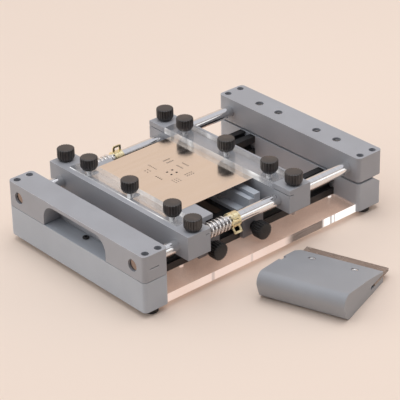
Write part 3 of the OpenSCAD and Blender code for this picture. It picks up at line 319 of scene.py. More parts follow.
finishes = {
    "upperGrey": coatedGrey("upperGrey", dict(
        grey, dark=(0.372, 0.384, 0.414), light=(0.405, 0.418, 0.45))),
    "lowerGrey": coatedGrey("lowerGrey", dict(
        grey, dark=(0.455, 0.495, 0.545), light=(0.49, 0.53, 0.58))),
    # painted shade: a darker copy of the lower grey, for the rear lower block whose front lies in
    # shade
    "rearLowerShadedGrey": coatedGrey("rearLowerShadedGrey", dict(
        grey, dark=(0.43, 0.455, 0.495), light=(0.465, 0.49, 0.53))),
    "squeegeeGrey": coatedGrey("squeegeeGrey", dict(
        grey, dark=(0.335, 0.348, 0.373), light=(0.365, 0.378, 0.403))),
    # partly a darker grey, partly painted shade: the brackets sit in shade under the carriages
    "bracketShadedGrey": coatedGrey("bracketShadedGrey", dict(
        grey, dark=(0.19, 0.195, 0.21), light=(0.215, 0.22, 0.24))),
    "blackBar": blackBarFinish("blackBar", dict(blackBar, lines=(900.0, 12.0, 900.0))),
    "blackCrossBar": blackBarFinish("blackCrossBar", dict(blackBar, lines=(12.0, 900.0, 900.0))),
    "chrome": brightMetal("chrome", dict(
        steel, lines=(40.0, 900.0, 40.0), dark=(0.80, 0.80, 0.81), light=(0.90, 0.90, 0.90),
        rough=0.07, tarnish=0.08, endFaceY=float(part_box("left_rod")[0][1]),
        endReflectionColour=(0.30, 0.235, 0.20))),
    "springWire": brightMetal("springWire", dict(
        steel, lines=(600.0, 600.0, 600.0), dark=(0.70, 0.67, 0.65), light=(0.86, 0.83, 0.81),
        rough=0.16)),
    "brightSteel": brightMetal("brightSteel", dict(
        steel, dark=(0.66, 0.66, 0.67), light=(0.82, 0.82, 0.82), rough=0.20)),
    # painted shade: a darker copy of the bright steel, for bolt heads that sit in the shade of
    # their holes
    "sunkSteel": brightMetal("sunkSteel", dict(
        steel, dark=(0.20, 0.19, 0.19), light=(0.38, 0.37, 0.37), rough=0.22)),
    # painted reflection: the foil's steel is tinted peach, the warm backdrop it mirrors
    "foilSteelPeachReflection": brightMetal("foilSteelPeachReflection", dict(
        steel, lines=(260.0, 4.0, 4.0), dark=(0.86, 0.775, 0.70), light=(0.89, 0.805, 0.73),
        rough=0.11, bump=0.006, patch=14.0, tarnish=0.06, tarnishColour=(0.70, 0.60, 0.52))),
    "yellowZinc": brightMetal("yellowZinc", dict(
        steel, lines=(300.0, 300.0, 300.0), dark=(0.84, 0.68, 0.38), light=(1.0, 0.92, 0.62),
        rough=0.22, tarnish=0.2, tarnishColour=(0.62, 0.38, 0.24))),
    "blackSteel": brightMetal("blackSteel", dict(
        steel, lines=(700.0, 700.0, 700.0), dark=(0.05, 0.05, 0.052), light=(0.09, 0.09, 0.095),
        rough=0.30, tarnish=0.3, tarnishColour=(0.12, 0.10, 0.09))),
    # painted reflection in part: the end knobs' warm dust colour also stands in for the warm sheen
    # on their crowns
    "knobBlack": mouldedBlack("knobBlack", dict(
        knobPlastic, colour=(0.016, 0.012, 0.011), dust=0.65, dustAndSheenColour=(0.095, 0.062, 0.052),
        shine=1.0)),
    "sideKnobBlack": mouldedBlack("sideKnobBlack", dict(
        knobPlastic, colour=(0.012, 0.012, 0.013), dust=0.5, dustAndSheenColour=(0.055, 0.05, 0.05),
        shine=0.6)),
    "footRubber": mouldedBlack("footRubber", dict(
        grain=1100.0, dustPatch=90.0, colour=(0.015, 0.015, 0.015), dust=0.7,
        dustAndSheenColour=(0.08, 0.07, 0.065), rough=(0.65, 0.77), shine=0.5, bump=0.4)),
    "clearPlate": clearAcrylic("clearPlate", dict(
        # painted light: the pink glowing milky layer stands in for the lit floor seen through the
        # plate
        acrylic, smear=(9.0, 30.0, 9.0), haze=0.12, glowingMilk=0.17, glowingMilkDark=(0.74, 0.57, 0.49),
        glowingMilkLight=(0.88, 0.71, 0.62), milkPaintedGlow=0.5, gleam=0.04, rough=0.03,
        tint=(0.985, 0.955, 0.935), bands=(1.0, 14.0, 1.0), streaks=(30.0, 30.0, 700.0),
        sideDark=(0.67, 0.52, 0.45), sideLight=(0.70, 0.555, 0.49), glow=1.0,
        patches=(9.0, 9.0, 9.0), sideShare=(0.92, 0.92),
        # the painted dark reflection from and to, in metres along y, and how far its ends fade
        darkReflectionLength=(0.026, 0.070), startFade=(0.005, 0.008), stopFade=0.003, streakShare=0.16,
        sideDarkReflection=(0.037, 0.026, 0.022), sideBrightReflection=(1.0, 1.0, 0.99), brightReflectionStreak=0.3,
        # narrow painted reflections: (place along y, half width, strength)
        marks=((-0.062, 0.0025, 0.5), (-0.017, 0.002, 0.3), (0.079, 0.0022, 0.7),
               (0.0835, 0.0015, 0.6)), sideMarkReflection=(0.22, 0.19, 0.185))),
    "clearBar": clearAcrylic("clearBar", dict(
        acrylic, smear=(7.0, 90.0, 7.0), haze=0.14, glowingMilk=0.10, glowingMilkDark=(0.62, 0.62, 0.63),
        glowingMilkLight=(0.95, 0.95, 0.95), milkPaintedGlow=0.08, gleam=0.07, rough=0.05,
        tint=(0.945, 0.95, 0.96), bands=(24.0, 2.0, 60.0), sideDark=(0.27, 0.26, 0.26),
        sideLight=(0.74, 0.74, 0.74), glow=0.95, patches=(34.0, 3.0, 3.0),
        sideShare=(0.22, 0.85))),
    "bladeAmber": amberRubber("bladeAmber", dict(
        dark=(0.34, 0.25, 0.20), light=(0.46, 0.36, 0.30), cloud=55.0, clear=0.35, rough=0.2,
        scuff=(60.0, 60.0, 700.0), scuffRough=0.18, edgeRough=0.12, bump=0.08)),
}
print("finishes:", len(finishes))


# Meshes: a surface is a pair of its points, in metres, and a list of arrays of faces

def gridFaces(rows, columns, closed):
    # four-sided faces of a grid of points whose columns run round; closed joins the last row to
    # the first
    row = np.arange(rows if closed else rows - 1)[:, None] * columns
    ahead = np.roll(np.arange(rows), -1)[:len(row)][:, None] * columns
    here = np.arange(columns)[None, :]
    beside = (here + 1) % columns
    return np.stack([row + here, row + beside, ahead + beside, ahead + here], -1).reshape(-1, 4)


def capFaces(first, centre, columns, flip):
    # triangles from one ring of points, which starts at first, to the point at its centre
    here = np.arange(columns)
    beside = (here + 1) % columns
    ring = [first + beside, first + here] if flip else [first + here, first + beside]
    return np.stack([*ring, np.full(columns, centre)], -1)


def closedTube(rings, firstCentre, lastCentre):
    # a surface from rows of points that run round; each end closes on the point at its centre
    rows, columns = rings.shape[:2]
    points = np.concatenate([rings.reshape(-1, 3), [firstCentre, lastCentre]])
    last = (rows - 1) * columns
    return points, [gridFaces(rows, columns, False), capFaces(0, rows * columns, columns, True),
                    capFaces(last, rows * columns + 1, columns, False)]


# for each axis a shape is turned about: where its angle starts, a quarter turn on, and the axis
turningFrames = {
    "z": ((1, 0, 0), (0, 1, 0), (0, 0, 1)),
    "y": ((0, 0, 1), (1, 0, 0), (0, 1, 0)),
    "x": ((0, 1, 0), (0, 0, 1), (1, 0, 0)),
    "-x": ((0, 0, 1), (0, 1, 0), (-1, 0, 0)),
}


def turned(profile, foot, axis, columns, shaped=None):
    # a turned surface: profile is rows of (distance from the axis, distance along it) in mm, both
    # ends on the axis; shaped, if given, changes the distance by angle and place along the axis
    out, along = np.array(profile, float).T
    angle = np.linspace(0, 2 * np.pi, columns, endpoint=False)
    far = out[1:-1, None] * np.ones(columns)
    if shaped is not None:
        far = shaped(far, angle[None, :], along[1:-1, None])
    high = along[1:-1, None] * np.ones(columns)
    directions = np.array(turningFrames[axis], float)
    rings = np.stack([far * np.cos(angle), far * np.sin(angle), high], -1) @ directions
    ends = [directions[2] * along[end] * mm + foot for end in (0, -1)]
    return closedTube(rings * mm + foot, *ends)


def assembled(name, surfaces, creaseAngle):
    # one object at the origin from several surfaces; edges that turn by more degrees stay crisp
    faces, first = [], 0
    for points, blocks in surfaces:
        for block in blocks:
            faces += (block + first).tolist()
        first += len(points)
    mesh = bpy.data.meshes.new(name)
    mesh.from_pydata(np.concatenate([points for points, blocks in surfaces]).tolist(), [], faces)
    mesh.shade_smooth()
    mesh.set_sharp_from_angle(angle=np.radians(creaseAngle))
    piece = bpy.data.objects.new(name, mesh)
    bpy.context.scene.collection.objects.link(piece)
    return piece


def dress(piece, node, finish):
    # gives the piece that stands for a CAD node its finish and the node's body, and hides the node
    piece.data.materials.clear()
    piece.data.materials.append(finishes[finish])
    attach(piece, nodes[node]["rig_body"])
    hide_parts(node)


def middle(node):
    low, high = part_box(node)
    return np.array((low + high) / 2)


def parted(node):
    # the CAD node's separate solids as (low corner, high corner): points at one place count as
    # one, and the least label spreads along the edges until each solid has a single one
    mesh = nodes[node].data
    co = np.zeros(len(mesh.vertices) * 3, np.float32)
    mesh.vertices.foreach_get("co", co)
    co = co.reshape(-1, 3)
    ends = np.zeros(len(mesh.edges) * 2, np.int32)
    mesh.edges.foreach_get("vertices", ends)
    start, stop = ends.reshape(-1, 2).T
    spot = np.unique(np.round(co * 1e6).astype(np.int64), axis=0, return_inverse=True)[1].ravel()
    label, settled = spot.copy(), False
    while not settled:
        before = label.copy()
        least = np.minimum(label[start], label[stop])
        np.minimum.at(label, start, least)
        np.minimum.at(label, stop, least)
        lowest = np.full(spot.max() + 1, len(co))
        np.minimum.at(lowest, spot, label)
        label = lowest[spot]
        settled = (label == before).all()
    return [(co[label == one].min(0), co[label == one].max(0)) for one in np.unique(label)]


# Blocks, carriages, bars: the CAD's own shapes with rounded edges

softening = dict(merge=0.002, flatAngle=0.6, sharpAngle=28.0, segments=2, sideFacing=0.6)

softened = {
    # node: (edge width in mm, finish, slot)
    "front_lower_block": (0.45, "lowerGrey", "painted_grey"),
    "rear_lower_block": (0.45, "rearLowerShadedGrey", "painted_grey"),
    "front_upper_block": (0.45, "upperGrey", "painted_grey"),
    "rear_upper_block": (0.45, "upperGrey", "painted_grey"),
    "front_carriage": (0.35, "upperGrey", "painted_grey"),
    "rear_carriage": (0.35, "upperGrey", "painted_grey"),
    # painted light: the jaws take the lighter lower grey, standing in for the light that falls on
    # them
    "front_jaw": (0.25, "lowerGrey", "painted_grey"),
    "rear_jaw": (0.25, "lowerGrey", "painted_grey"),
    "front_brackets": (0.35, "bracketShadedGrey", "painted_grey"),
    "rear_brackets": (0.35, "bracketShadedGrey", "painted_grey"),
    "squeegee_handle": (0.35, "squeegeeGrey", "painted_grey"),
    "left_rail": (0.25, "blackBar", "black_bar"),
    "right_rail": (0.25, "blackBar", "black_bar"),
    "front_cross_bar": (0.25, "blackCrossBar", "black_bar"),
    "rear_cross_bar": (0.25, "blackCrossBar", "black_bar"),
    "base_plate": (0.3, "clearPlate", "clear_plate"),
    "front_clamp_bar": (0.3, "clearBar", "clear_bar"),
    "rear_clamp_bar": (0.3, "clearBar", "clear_bar"),
    "squeegee_blade": (0.15, "bladeAmber", "blade_amber"),
}


def faceValues(mesh, key, kind, size=1):
    # one value, or one row of values, for each face of a mesh
    values = np.zeros(len(mesh.polygons) * size, kind)
    mesh.polygons.foreach_get(key, values)
    return values if size == 1 else values.reshape(-1, size)


def soften(node, width):
    # a copy of a CAD node, merged, its flat faces joined and its edges rounded; its faces are
    # marked where they are an edge, and where they look along the piece's shorter side
    piece = bpy.data.objects.new(node + "_soft", nodes[node].data.copy())
    bpy.context.scene.collection.objects.link(piece)
    for kind, settings in (
            ("WELD", {"merge_threshold": softening["merge"] * mm}),
            ("DECIMATE", {"decimate_type": "DISSOLVE",
                          "angle_limit": np.radians(softening["flatAngle"])}),
            ("BEVEL", {"width": width * mm, "segments": softening["segments"],
                       "limit_method": "ANGLE", "angle_limit": np.radians(softening["sharpAngle"]),
                       "material": 1, "miter_outer": "MITER_ARC", "use_clamp_overlap": True}),
            ("WEIGHTED_NORMAL", {"mode": "FACE_AREA", "weight": 100, "keep_sharp": False})):
        step = piece.modifiers.new(kind.lower(), kind)
        for key, value in settings.items():
            setattr(step, key, value)
    faceSlot = np.zeros(len(piece.data.polygons), np.int32)
    piece.data.materials.clear()
    piece.data.materials.append(None)
    piece.data.materials.append(None)  # the bevel's own slot, by which its faces are found
    piece.data.polygons.foreach_set("material_index", faceSlot)
    piece.data.shade_smooth()
    seen = bpy.context.evaluated_depsgraph_get()
    mesh = bpy.data.meshes.new_from_object(
        piece.evaluated_get(seen), preserve_all_data_layers=True, depsgraph=seen)
    piece.modifiers.clear()
    piece.data = mesh
    low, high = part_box(node)
    across = 0 if high[0] - low[0] < high[1] - low[1] else 1
    marks = {
        "edge": faceValues(mesh, "material_index", np.int32),
        "side": np.abs(faceValues(mesh, "normal", np.float32, 3)[:, across])
        > softening["sideFacing"],
    }
    corners = faceValues(mesh, "loop_total", np.int32)
    for name, marked in marks.items():
        mesh.attributes.new(name, "FLOAT", "CORNER").data.foreach_set(
            "value", np.repeat(marked.astype(np.float32), corners))
    mesh.polygons.foreach_set("material_index", np.zeros(len(mesh.polygons), np.int32))
    return piece


for node, (width, finish, slot) in softened.items():
    dress(soften(node, width), node, finish)
print("softened pieces:", len(softened))


# Knobs

knob = dict(
    radius=8.0, height=11.6, hub=3.8, hubRadius=4.5, bore=2.56, boreShare=0.71, easing=0.3,
    shoulder=1.1, shoulderDrop=1.25, shoulderSteps=7, sideEnd=1.7,
    # (share of the radius, height over the hub) up the skirt, and down from the top over the crown
    skirt=((0.75, 0.0), (0.79, 0.2), (0.86, 1.2), (0.92, 2.0), (0.97, 2.6), (1.0, 3.2),
           (1.0, 4.8), (1.0, 7.4)),
    crown=((0.80, -0.1), (0.62, -0.05), (0.3, -0.02), (0.0, 0.0)),
    grooves=20, columnsPerGroove=10, depth=0.75, narrowness=2.4, grooveFrom=0.6, grooveRise=1.6,
    grooveTop=(0.76, 0.86), crease=50.0)


def knobProfile(hub):
    # from the end of the blind bore, down its wall, round the foot and skirt, up the side, over
    # the rounded shoulder and across the crowned top
    r, bore, ease, wide = knob["radius"], knob["bore"], knob["easing"], knob["hubRadius"]
    top, boreEnd = hub + knob["height"], hub + knob["boreShare"] * knob["height"]
    turn = np.linspace(0, np.pi / 2, knob["shoulderSteps"])
    shoulder = np.stack([r + knob["shoulder"] * (np.cos(turn) - 1),
                         top - knob["shoulderDrop"] + knob["shoulder"] * np.sin(turn)], -1)
    foot = [(wide - ease, 0.0), (wide, ease), (wide, hub - ease), (wide + ease, hub)]
    return [(0.0, boreEnd), (bore * 0.6, boreEnd), (bore, boreEnd), (bore, hub * 0.5 + 1.0),
            (bore, ease), (bore + ease, 0.0), *(foot if hub else []),
            *[(share * r, hub + over) for share, over in knob["skirt"]],
            (r, top - knob["sideEnd"]), *shoulder,
            *[(share * r, top + under) for share, under in knob["crown"]]]


def knobPiece(node, axis, foot, hub, finish):
    def grooved(far, angle, along):
        # valleys narrower than the crests between them, fading out at the skirt and on the top
        rise = np.clip((along - hub - knob["grooveFrom"]) / knob["grooveRise"], 0, 1)
        inner, outer = knob["grooveTop"]
        fade = np.clip((far / knob["radius"] - inner) / (outer - inner), 0, 1)
        valley = (0.5 + 0.5 * np.cos(knob["grooves"] * angle)) ** knob["narrowness"]
        return far - knob["depth"] * valley * rise * fade * (far > knob["hubRadius"] + 0.5)

    columns = knob["grooves"] * knob["columnsPerGroove"]
    surface = turned(knobProfile(hub), foot, axis, columns, grooved)
    dress(assembled(node + "_piece", [surface], knob["crease"]), node, finish)


for node in [n for n in nodes if n.endswith("_knob")]:
    low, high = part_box(node)
    spot = middle(node)
    if "side" in node:
        onRight = spot[0] > 0
        spot[0] = low[0] if onRight else high[0]
        knobPiece(node, "x" if onRight else "-x", spot, knob["hub"], "sideKnobBlack")
    else:
        spot[2] = low[2]
        knobPiece(node, "z", spot, 0.0, "knobBlack")
print("knobs ready")


# Studs with their threads, washers, rods

stud = dict(radius=2.5, pitch=0.8, depth=0.42, stepsPerPitch=6, columns=20, end=0.5, crease=40.0)


def studSurface(low, high):
    # a threaded rod: the distance from its axis follows a ridge that climbs one pitch a turn
    length = (high[2] - low[2]) / mm
    rows = int(length / stud["pitch"] * stud["stepsPerPitch"])
    r, end = stud["radius"], stud["end"]
    profile = [(0.0, 0.0), (r - end, 0.0), *[(r, z) for z in np.linspace(end, length - end, rows)],
               (r - end, length), (0.0, length)]

    def threaded(far, angle, along):
        climb = (along / stud["pitch"] - angle / (2 * np.pi)) % 1.0
        ridge = np.abs(2 * climb - 1)
        return far - stud["depth"] * ridge * (along > end) * (along < length - end)

    foot = np.array([*((low + high) / 2)[:2], low[2]])
    return turned(profile, foot, "z", stud["columns"], threaded)


for node in ("front_studs", "rear_studs"):
    surfaces = [studSurface(low, high) for low, high in parted(node)]
    dress(assembled(node + "_piece", surfaces, stud["crease"]), node, "brightSteel")

washer = dict(inner=2.56, bevel=0.15, columns=48, crease=40.0)


def washerSurface(low, high):
    # a closed section, bevelled outside and half as much inside, carried round the stud
    outer, thick = (high[0] - low[0]) / 2 / mm, (high[2] - low[2]) / mm
    inner, bevel, columns = washer["inner"], washer["bevel"], washer["columns"]
    out, up = np.array([
        (inner, 0.0), (outer - bevel, 0.0), (outer, bevel), (outer, thick - bevel),
        (outer - bevel, thick), (inner + bevel / 2, thick), (inner, thick - bevel / 2),
        (inner, bevel / 2)]).T
    angle = np.linspace(0, 2 * np.pi, columns, endpoint=False)
    points = np.stack([out[:, None] * np.cos(angle), out[:, None] * np.sin(angle),
                       up[:, None] * np.ones(columns)], -1).reshape(-1, 3)
    foot = [*((low + high) / 2)[:2], low[2]]
    return points * mm + foot, [gridFaces(len(out), columns, True)]


for node in ("front_washers", "rear_washers"):
    surfaces = [washerSurface(low, high) for low, high in parted(node)]
    dress(assembled(node + "_piece", surfaces, washer["crease"]), node,
          "brightSteel")

rod = dict(radius=5.5, chamfer=0.8, rearChamfer=0.4, columns=72, crease=30.0)

for node in ("left_rod", "right_rod"):
    low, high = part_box(node)
    foot, length = middle(node), (high[1] - low[1]) / mm
    foot[1] = low[1]
    r, chamfer, rearChamfer = rod["radius"], rod["chamfer"], rod["rearChamfer"]
    profile = [(0.0, 0.0), (0.5 * r, 0.0), (r - chamfer, 0.0), (r, chamfer), (r, length * 0.5),
               (r, length - rearChamfer), (r - rearChamfer, length), (0.5 * r, length),
               (0.0, length)]
    surface = turned(profile, foot, "y", rod["columns"])
    dress(assembled(node + "_piece", [surface], rod["crease"]), node, "chrome")
print("studs, washers and rods ready")


# Springs

spring = dict(wire=1.4, curls=7, overTurn=1 / 8, play=0.15, sides=14, stepsPerCurl=40,
              bendSteps=8, crease=60.0)


def springPath(length):
    # the wire's middle, worked out unrolled on a cylinder round the rod: straight, a bend, the
    # even curls, a bend, straight; returned with the direction away from the rod
    ring = rod["radius"] + spring["play"] + spring["wire"] / 2
    bend = straight = spring["wire"]
    rise = (length - 2 * straight - 2 * bend) / (spring["curls"] + spring["overTurn"])
    lead = np.arctan(rise / (2 * np.pi * ring))
    share = (length - 2 * straight - 2 * bend * np.cos(lead)) / rise
    turns = np.linspace(0, np.pi / 2 - lead, spring["bendSteps"])
    bendAround, bendAlong = bend * (1 - np.cos(turns)), straight + bend * np.sin(turns)
    steps = int(round(share * spring["stepsPerCurl"]))
    part = np.arange(1, steps) / steps
    curlAround = bendAround[-1] + 2 * np.pi * ring * share * part
    curlAlong = bendAlong[-1] + share * rise * part
    total = 2 * bendAround[-1] + 2 * np.pi * ring * share
    around = np.concatenate([[0.0], bendAround, curlAround, (total - bendAround)[::-1], [total]])
    along = np.concatenate([[0.0], bendAlong, curlAlong, (length - bendAlong)[::-1], [length]])
    angle = around / ring
    out = np.stack([np.cos(angle), np.zeros_like(angle), np.sin(angle)], -1)
    return ring * out + along[:, None] * [0.0, 1.0, 0.0], out


def springPiece(node):
    # a round wire carried along its path
    low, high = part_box(node)
    foot = middle(node)
    foot[1] = low[1]
    path, out = springPath((high[1] - low[1]) / mm)
    ahead = np.gradient(path, axis=0)
    ahead[[0, -1]] = (0.0, 1.0, 0.0)
    ahead /= np.linalg.norm(ahead, axis=1, keepdims=True)
    side = np.cross(ahead, out)
    side /= np.linalg.norm(side, axis=1, keepdims=True)
    turn = np.linspace(0, 2 * np.pi, spring["sides"], endpoint=False)[None, :, None]
    rings = path[:, None] + spring["wire"] / 2 * (
        np.cos(turn) * out[:, None] + np.sin(turn) * side[:, None])
    surface = closedTube((rings * mm + foot)[:, ::-1], path[0] * mm + foot, path[-1] * mm + foot)
    piece = assembled(node + "_piece", [surface], spring["crease"])
    piece.data.materials.append(finishes["springWire"])
    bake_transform(piece)
    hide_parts(node)


for node in ("left_spring", "right_spring"):
    springPiece(node)
print("springs ready")


# Screws with sockets, feet

screw = dict(columns=48, domeSteps=6, ease=0.3, rim=0.2, socketRim=0.25, socketFloor=0.2,
             crease=35.0)

screws = {
    # node: (head radius, head height, socket, socket depth, dome, shank radius, finish, slot)
    "corner_screws": (2.75, 3.0, 1.25, 1.5, 0.3, 1.5, "blackSteel", "black_steel"),
    "hinge_bolts": (3.4, 3.0, 1.6, 1.4, 1.0, 1.95, "sunkSteel", "bright_steel"),
    "front_seat_screw": (3.0, 1.6, 1.2, 0.9, 0.5, 1.5, "blackSteel", "black_steel"),
    "squeegee_screws": (3.1, 2.0, 1.3, 1.1, 0.7, 1.5, "brightSteel", "bright_steel"),
}


def screwSurface(low, high, radius, height, socket, depth, dome, shank):
    # a turned head on a shank, measured in mm down from its top, with a six-sided socket
    def sixSided(far, angle, along):
        # the socket's wall stands at the distance of a hexagon's side at each angle
        wall = np.cos(np.pi / 6) / np.cos((angle + np.pi / 6) % (np.pi / 3) - np.pi / 6)
        return np.where(far <= socket + 0.01, far * wall, far)

    shankEnd = (low[2] - high[2]) / mm
    ease, rim, floor = screw["ease"], screw["rim"], screw["socketFloor"]
    turn = np.linspace(0, np.pi / 2, screw["domeSteps"])
    shoulder = np.stack([radius - dome + dome * np.cos(turn), dome * (np.sin(turn) - 1)], -1)
    profile = [(0.0, shankEnd), (shank - ease, shankEnd), (shank, shankEnd + ease),
               (shank, -height), (radius - rim, -height), (radius, rim - height), *shoulder,
               (socket + screw["socketRim"], 0.0), (socket, -rim), (socket, -depth),
               (socket * 0.5, -depth - floor), (0.0, -depth - 2 * floor)]
    top = np.array([*((low + high) / 2)[:2], high[2]])
    return turned(profile, top, "z", screw["columns"], sixSided)


for node, (*sizes, finish, slot) in screws.items():
    surfaces = [screwSurface(low, high, *sizes) for low, high in parted(node)]
    dress(assembled(node + "_piece", surfaces, screw["crease"]), node, finish)

rubberFoot = dict(taper=0.4, rounding=0.9, roundSteps=6, dish=2.2, dishDepth=0.6, dishEase=0.4,
                  columns=48, crease=40.0)


def footSurface(low, high):
    # a tapered foot with a rounded lower edge and a shallow dish under it
    r, tall = (high[0] - low[0]) / 2 / mm, (high[2] - low[2]) / mm
    rounding, dish = rubberFoot["rounding"], rubberFoot["dish"]
    flat = r - rubberFoot["taper"] - rounding
    turn = np.linspace(0, np.pi / 2, rubberFoot["roundSteps"])
    lowerEdge = np.stack([flat + rounding * np.sin(turn), rounding * (1 - np.cos(turn))], -1)
    profile = [(0.0, rubberFoot["dishDepth"]),
               (dish - rubberFoot["dishEase"], rubberFoot["dishDepth"]), (dish, 0.0),
               (flat, 0.0), *lowerEdge, (r, tall), (0.0, tall)]
    foot = np.array([*((low + high) / 2)[:2], low[2]])
    return turned(profile, foot, "z", rubberFoot["columns"])


surfaces = [footSurface(low, high) for low, high in parted("feet")]
dress(assembled("feet_piece", surfaces, rubberFoot["crease"]), "feet", "footRubber")
print("screws and feet ready")


# Band clips

clip = dict(
    inner=5.53, outer=6.92, rounding=0.22, columns=72, tabReach=6.0, tabThick=1.2, tabRim=2.2,
    tabSunk=1.2, tabCorner=0.9, cornerSteps=6, earReach=3.0, earWide=4.0, earTurn=80.0,
    earSunk=0.8, earSteps=9, crease=40.0)


def standingOut(flat, lift, degrees):
    # flat is (distance from the rod's axis, place along it), lift the height over the tab's
    # middle; both are turned round the rod
    c, s = np.cos(np.radians(degrees)), np.sin(np.radians(degrees))
    return np.stack([flat[..., 0] * c - lift * s, flat[..., 1], flat[..., 0] * s + lift * c], -1)


def bandSurface(wide):
    # a closed flat section, its outer corners bevelled, carried round the rod
    rounding, inner, outer = clip["rounding"], clip["inner"], clip["outer"]
    out, along = np.array([
        (inner, 0.0), (outer - rounding, 0.0), (outer, rounding), (outer, wide - rounding),
        (outer - rounding, wide), (inner, wide)]).T
    angle = np.linspace(0, 2 * np.pi, clip["columns"], endpoint=False)
    band = np.stack([out[:, None] * np.cos(angle), along[:, None] * np.ones(clip["columns"]),
                     out[:, None] * np.sin(angle)], -1)
    return band.reshape(-1, 3), [gridFaces(len(out), clip["columns"], True)[:, ::-1]]


def tabSurface(wide, degrees):
    # the window tab's frame: a small rounded bar carried round a rectangle with round corners
    rim, thick, rounding = clip["tabRim"], clip["tabThick"], clip["rounding"]
    corner = clip["tabCorner"]
    near = clip["outer"] - clip["tabSunk"] - rim / 2 + corner
    far = clip["outer"] + clip["tabReach"] - rim / 2 - corner
    left, right = rim / 2 + corner, wide - rim / 2 - corner
    quarter = np.linspace(0, np.pi / 2, clip["cornerSteps"])
    path = np.concatenate([
        np.stack([u + corner * np.cos(quarter + turn), v + corner * np.sin(quarter + turn)], -1)
        for u, v, turn in ((far, right, 0.0), (near, right, np.pi / 2), (near, left, np.pi),
                           (far, left, 1.5 * np.pi))])
    ahead = np.roll(path, -1, 0) - np.roll(path, 1, 0)
    ahead /= np.linalg.norm(ahead, axis=1, keepdims=True)
    out = np.stack([ahead[:, 1], -ahead[:, 0]], -1)
    r, t = rim / 2, thick / 2
    section = np.array([
        (r, rounding - t), (r, t - rounding), (r - rounding, t), (rounding - r, t),
        (-r, t - rounding), (-r, rounding - t), (rounding - r, -t), (r - rounding, -t)])
    flat = path[:, None] + section[None, :, :1] * out[:, None]
    lift = np.ones(len(path))[:, None] * section[None, :, 1]
    points = standingOut(flat, lift, degrees).reshape(-1, 3)
    return points, [gridFaces(len(path), len(section), True)[:, ::-1]]


def earSurface(wide, degrees):
    # a rounded strip: its outline's rings shrink towards both of its faces
    thick, rounding, half = clip["tabThick"], clip["rounding"], clip["earWide"] / 2
    start, reach = clip["outer"] - clip["earSunk"], clip["outer"] + clip["earReach"]
    turns = np.linspace(-np.pi / 2, np.pi / 2, clip["earSteps"])
    tip = np.stack([reach + 0.8 * half * (np.cos(turns) - 1), half * np.sin(turns)], -1)
    outline = np.concatenate([[(start, -half)], tip, [(start, half)]])
    centre, halfway = np.array([(start + reach) / 2, 0.0]), np.array([0.0, wide / 2])
    levels = [(-thick / 2, rounding), (rounding - thick / 2, 0.0), (thick / 2 - rounding, 0.0),
              (thick / 2, rounding)]
    rings = np.stack([standingOut(
        (outline - centre) * (1 - shrink / half) + centre + halfway,
        np.full(len(outline), level), degrees) for level, shrink in levels])
    ends = [standingOut(centre + halfway, np.array(levels[i][0]), degrees) for i in (0, -1)]
    return closedTube(rings[:, ::-1], *ends)


tabTurns = {"left": 90.0, "right": -50.0}
for hand, tabTurn in tabTurns.items():
    node = hand + "_clip"
    low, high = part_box(node)
    wide, foot = (high[1] - low[1]) / mm, middle(hand + "_rod")
    foot[1] = low[1]
    surfaces = [bandSurface(wide), tabSurface(wide, tabTurn),
                earSurface(wide, tabTurn + clip["earTurn"])]
    surfaces = [(points * mm + foot, blocks) for points, blocks in surfaces]
    dress(assembled(node + "_piece", surfaces, clip["crease"]), node, "yellowZinc")
print("clips ready")


# What keeps its CAD mesh

kept = {
    "rail_nuts": "brightSteel", "plate_screws": "brightSteel",
    "hinge_lower_leaves": "brightSteel", "hinge_lower_screws": "brightSteel",
    "hinge_pins": "brightSteel", "hinge_upper_leaves": "brightSteel",
    "rear_bracket_screws": "brightSteel", "rear_holder_bolts": "brightSteel",
    "front_bracket_screws": "brightSteel", "front_holder_bolts": "brightSteel",
    "stencil": "foilSteelPeachReflection",
}
for node, finish in kept.items():
    nodes[node].data.materials.clear()
    nodes[node].data.materials.append(finishes[finish])
print("kept CAD meshes:", len(kept))


# Floor and light

room = dict(
    floorReach=7.0, floorColour=(0.95, 0.805, 0.69), floorShade=0.985, floorRough=(0.85, 0.95),
    nearSide=(0.055, 0.058, 0.068), backdrop=(0.80, 0.665, 0.565),
    towardsBackdrop=(-0.66, 0.75, 0.0), backdropSpan=(-0.15, 0.35),
    ceiling=(0.64, 0.64, 0.68), ceilingSpan=(0.5, 0.7),
    window=(1.3, 1.3, 1.3), towardsWindow=(-0.70, -0.70, 0.12), windowSpan=(0.62, 0.85))

reach, floorZ = room["floorReach"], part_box("feet")[0][2]
corners = np.array([(-reach, -reach, floorZ), (reach, -reach, floorZ), (reach, reach, floorZ),
                    (-reach, reach, floorZ)])
floor = assembled("floor", [(corners, [np.array([[0, 1, 2, 3]])])], 30.0)
f = Finish("floorPaper")
fibre = f.noise(900.0, detail=3.0, rough=0.6)
shaded = tuple(room["floorShade"] * value for value in room["floorColour"])
least, most = room["floorRough"]
floor.data.materials.append(f.end({
    "Base Color": f.tint(f.span(f.noise(2.2)), room["floorColour"], shaded), "Metallic": 0.0,
    "Roughness": f.span(fibre, fromValue=least, toValue=most), "Specular IOR Level": 0.2,
    "Normal": f.bump(fibre, 0.05, 0.1)}))

# the sky is a bright ceiling, a wide window at the front left, a paper backdrop on the far side
# and a dim room on the near side
world = bpy.data.worlds.new("studio")
bpy.context.scene.world = world
f = Finish("studio", world)


def lookingTo(direction, low, high):
    # 1 where the sky lies in a direction, 0 away from it, with a soft border between
    share = f.node("ShaderNodeVectorMath", {"operation": "DOT_PRODUCT"},
                   {0: f.place, 1: direction}, output=1)
    return f.span(share, low, high)


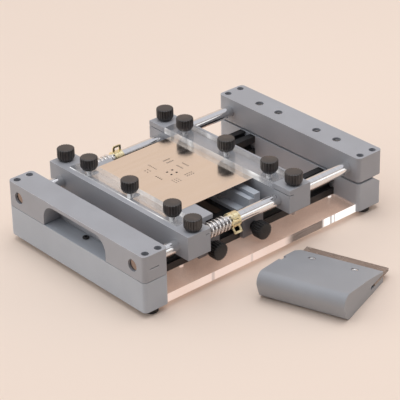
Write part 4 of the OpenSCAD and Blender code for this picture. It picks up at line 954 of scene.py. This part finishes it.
walls = f.tint(lookingTo(room["towardsBackdrop"], *room["backdropSpan"]),
               room["nearSide"], room["backdrop"])
around = f.tint(lookingTo((0.0, 0.0, 1.0), *room["ceilingSpan"]), walls, room["ceiling"])
sky = f.tint(lookingTo(room["towardsWindow"], *room["windowSpan"]), around, room["window"])
f.node("ShaderNodeOutputWorld", {}, {
    "Surface": f.node("ShaderNodeBackground", {}, {"Color": sky})})

lamps = {
    # name: (place, aimed at, width, height, watts)
    "keyBox": ((0.05, 0.05, 2.0), (0.0, 0.0, 0.0), 1.5, 1.5, 13.3),
    "farStrip": ((1.95, 1.42, 0.66), (0.0, 0.0, 0.04), 0.9, 1.1, 3.2),
}
for name, (place, aim, wide, tall, watts) in lamps.items():
    data = bpy.data.lights.new(name, "AREA")
    data.shape, data.size, data.size_y = "RECTANGLE", wide, tall
    data.energy = watts
    lamp = bpy.data.objects.new(name, data)
    lamp.location = place
    lamp.rotation_euler = (Vector(aim) - Vector(place)).to_track_quat("-Z", "Y").to_euler()
    bpy.context.scene.collection.objects.link(lamp)


# Camera

view = dict(place=(1.1179, -0.9646, 0.8391), back=(0.669, -0.567, 0.481), up=(-0.35, 0.331, 0.876),
            focalPixels=1881.1, imageSide=400.0, middle=(182.8, 189.5), sensor=36.0,
            clip=(0.05, 60.0))

back = Vector(view["back"]).normalized()
right = Vector(view["up"]).cross(back).normalized()
up = back.cross(right)
across, down = view["middle"]
camData = bpy.data.cameras.new("camera")
camData.sensor_width = view["sensor"]
camData.lens = view["focalPixels"] / view["imageSide"] * view["sensor"]
camData.shift_x = (view["imageSide"] / 2 - across) / view["imageSide"]
camData.shift_y = (down - view["imageSide"] / 2) / view["imageSide"]
camData.clip_start, camData.clip_end = view["clip"]
camera = bpy.data.objects.new("camera", camData)
turn = Matrix((right, up, back)).transposed().to_4x4()
camera.matrix_world = Matrix.Translation(view["place"]) @ turn
bpy.context.scene.collection.objects.link(camera)
bpy.context.scene.camera = camera
bpy.context.scene.view_settings.view_transform = "Standard"
print("stage, light and camera ready")
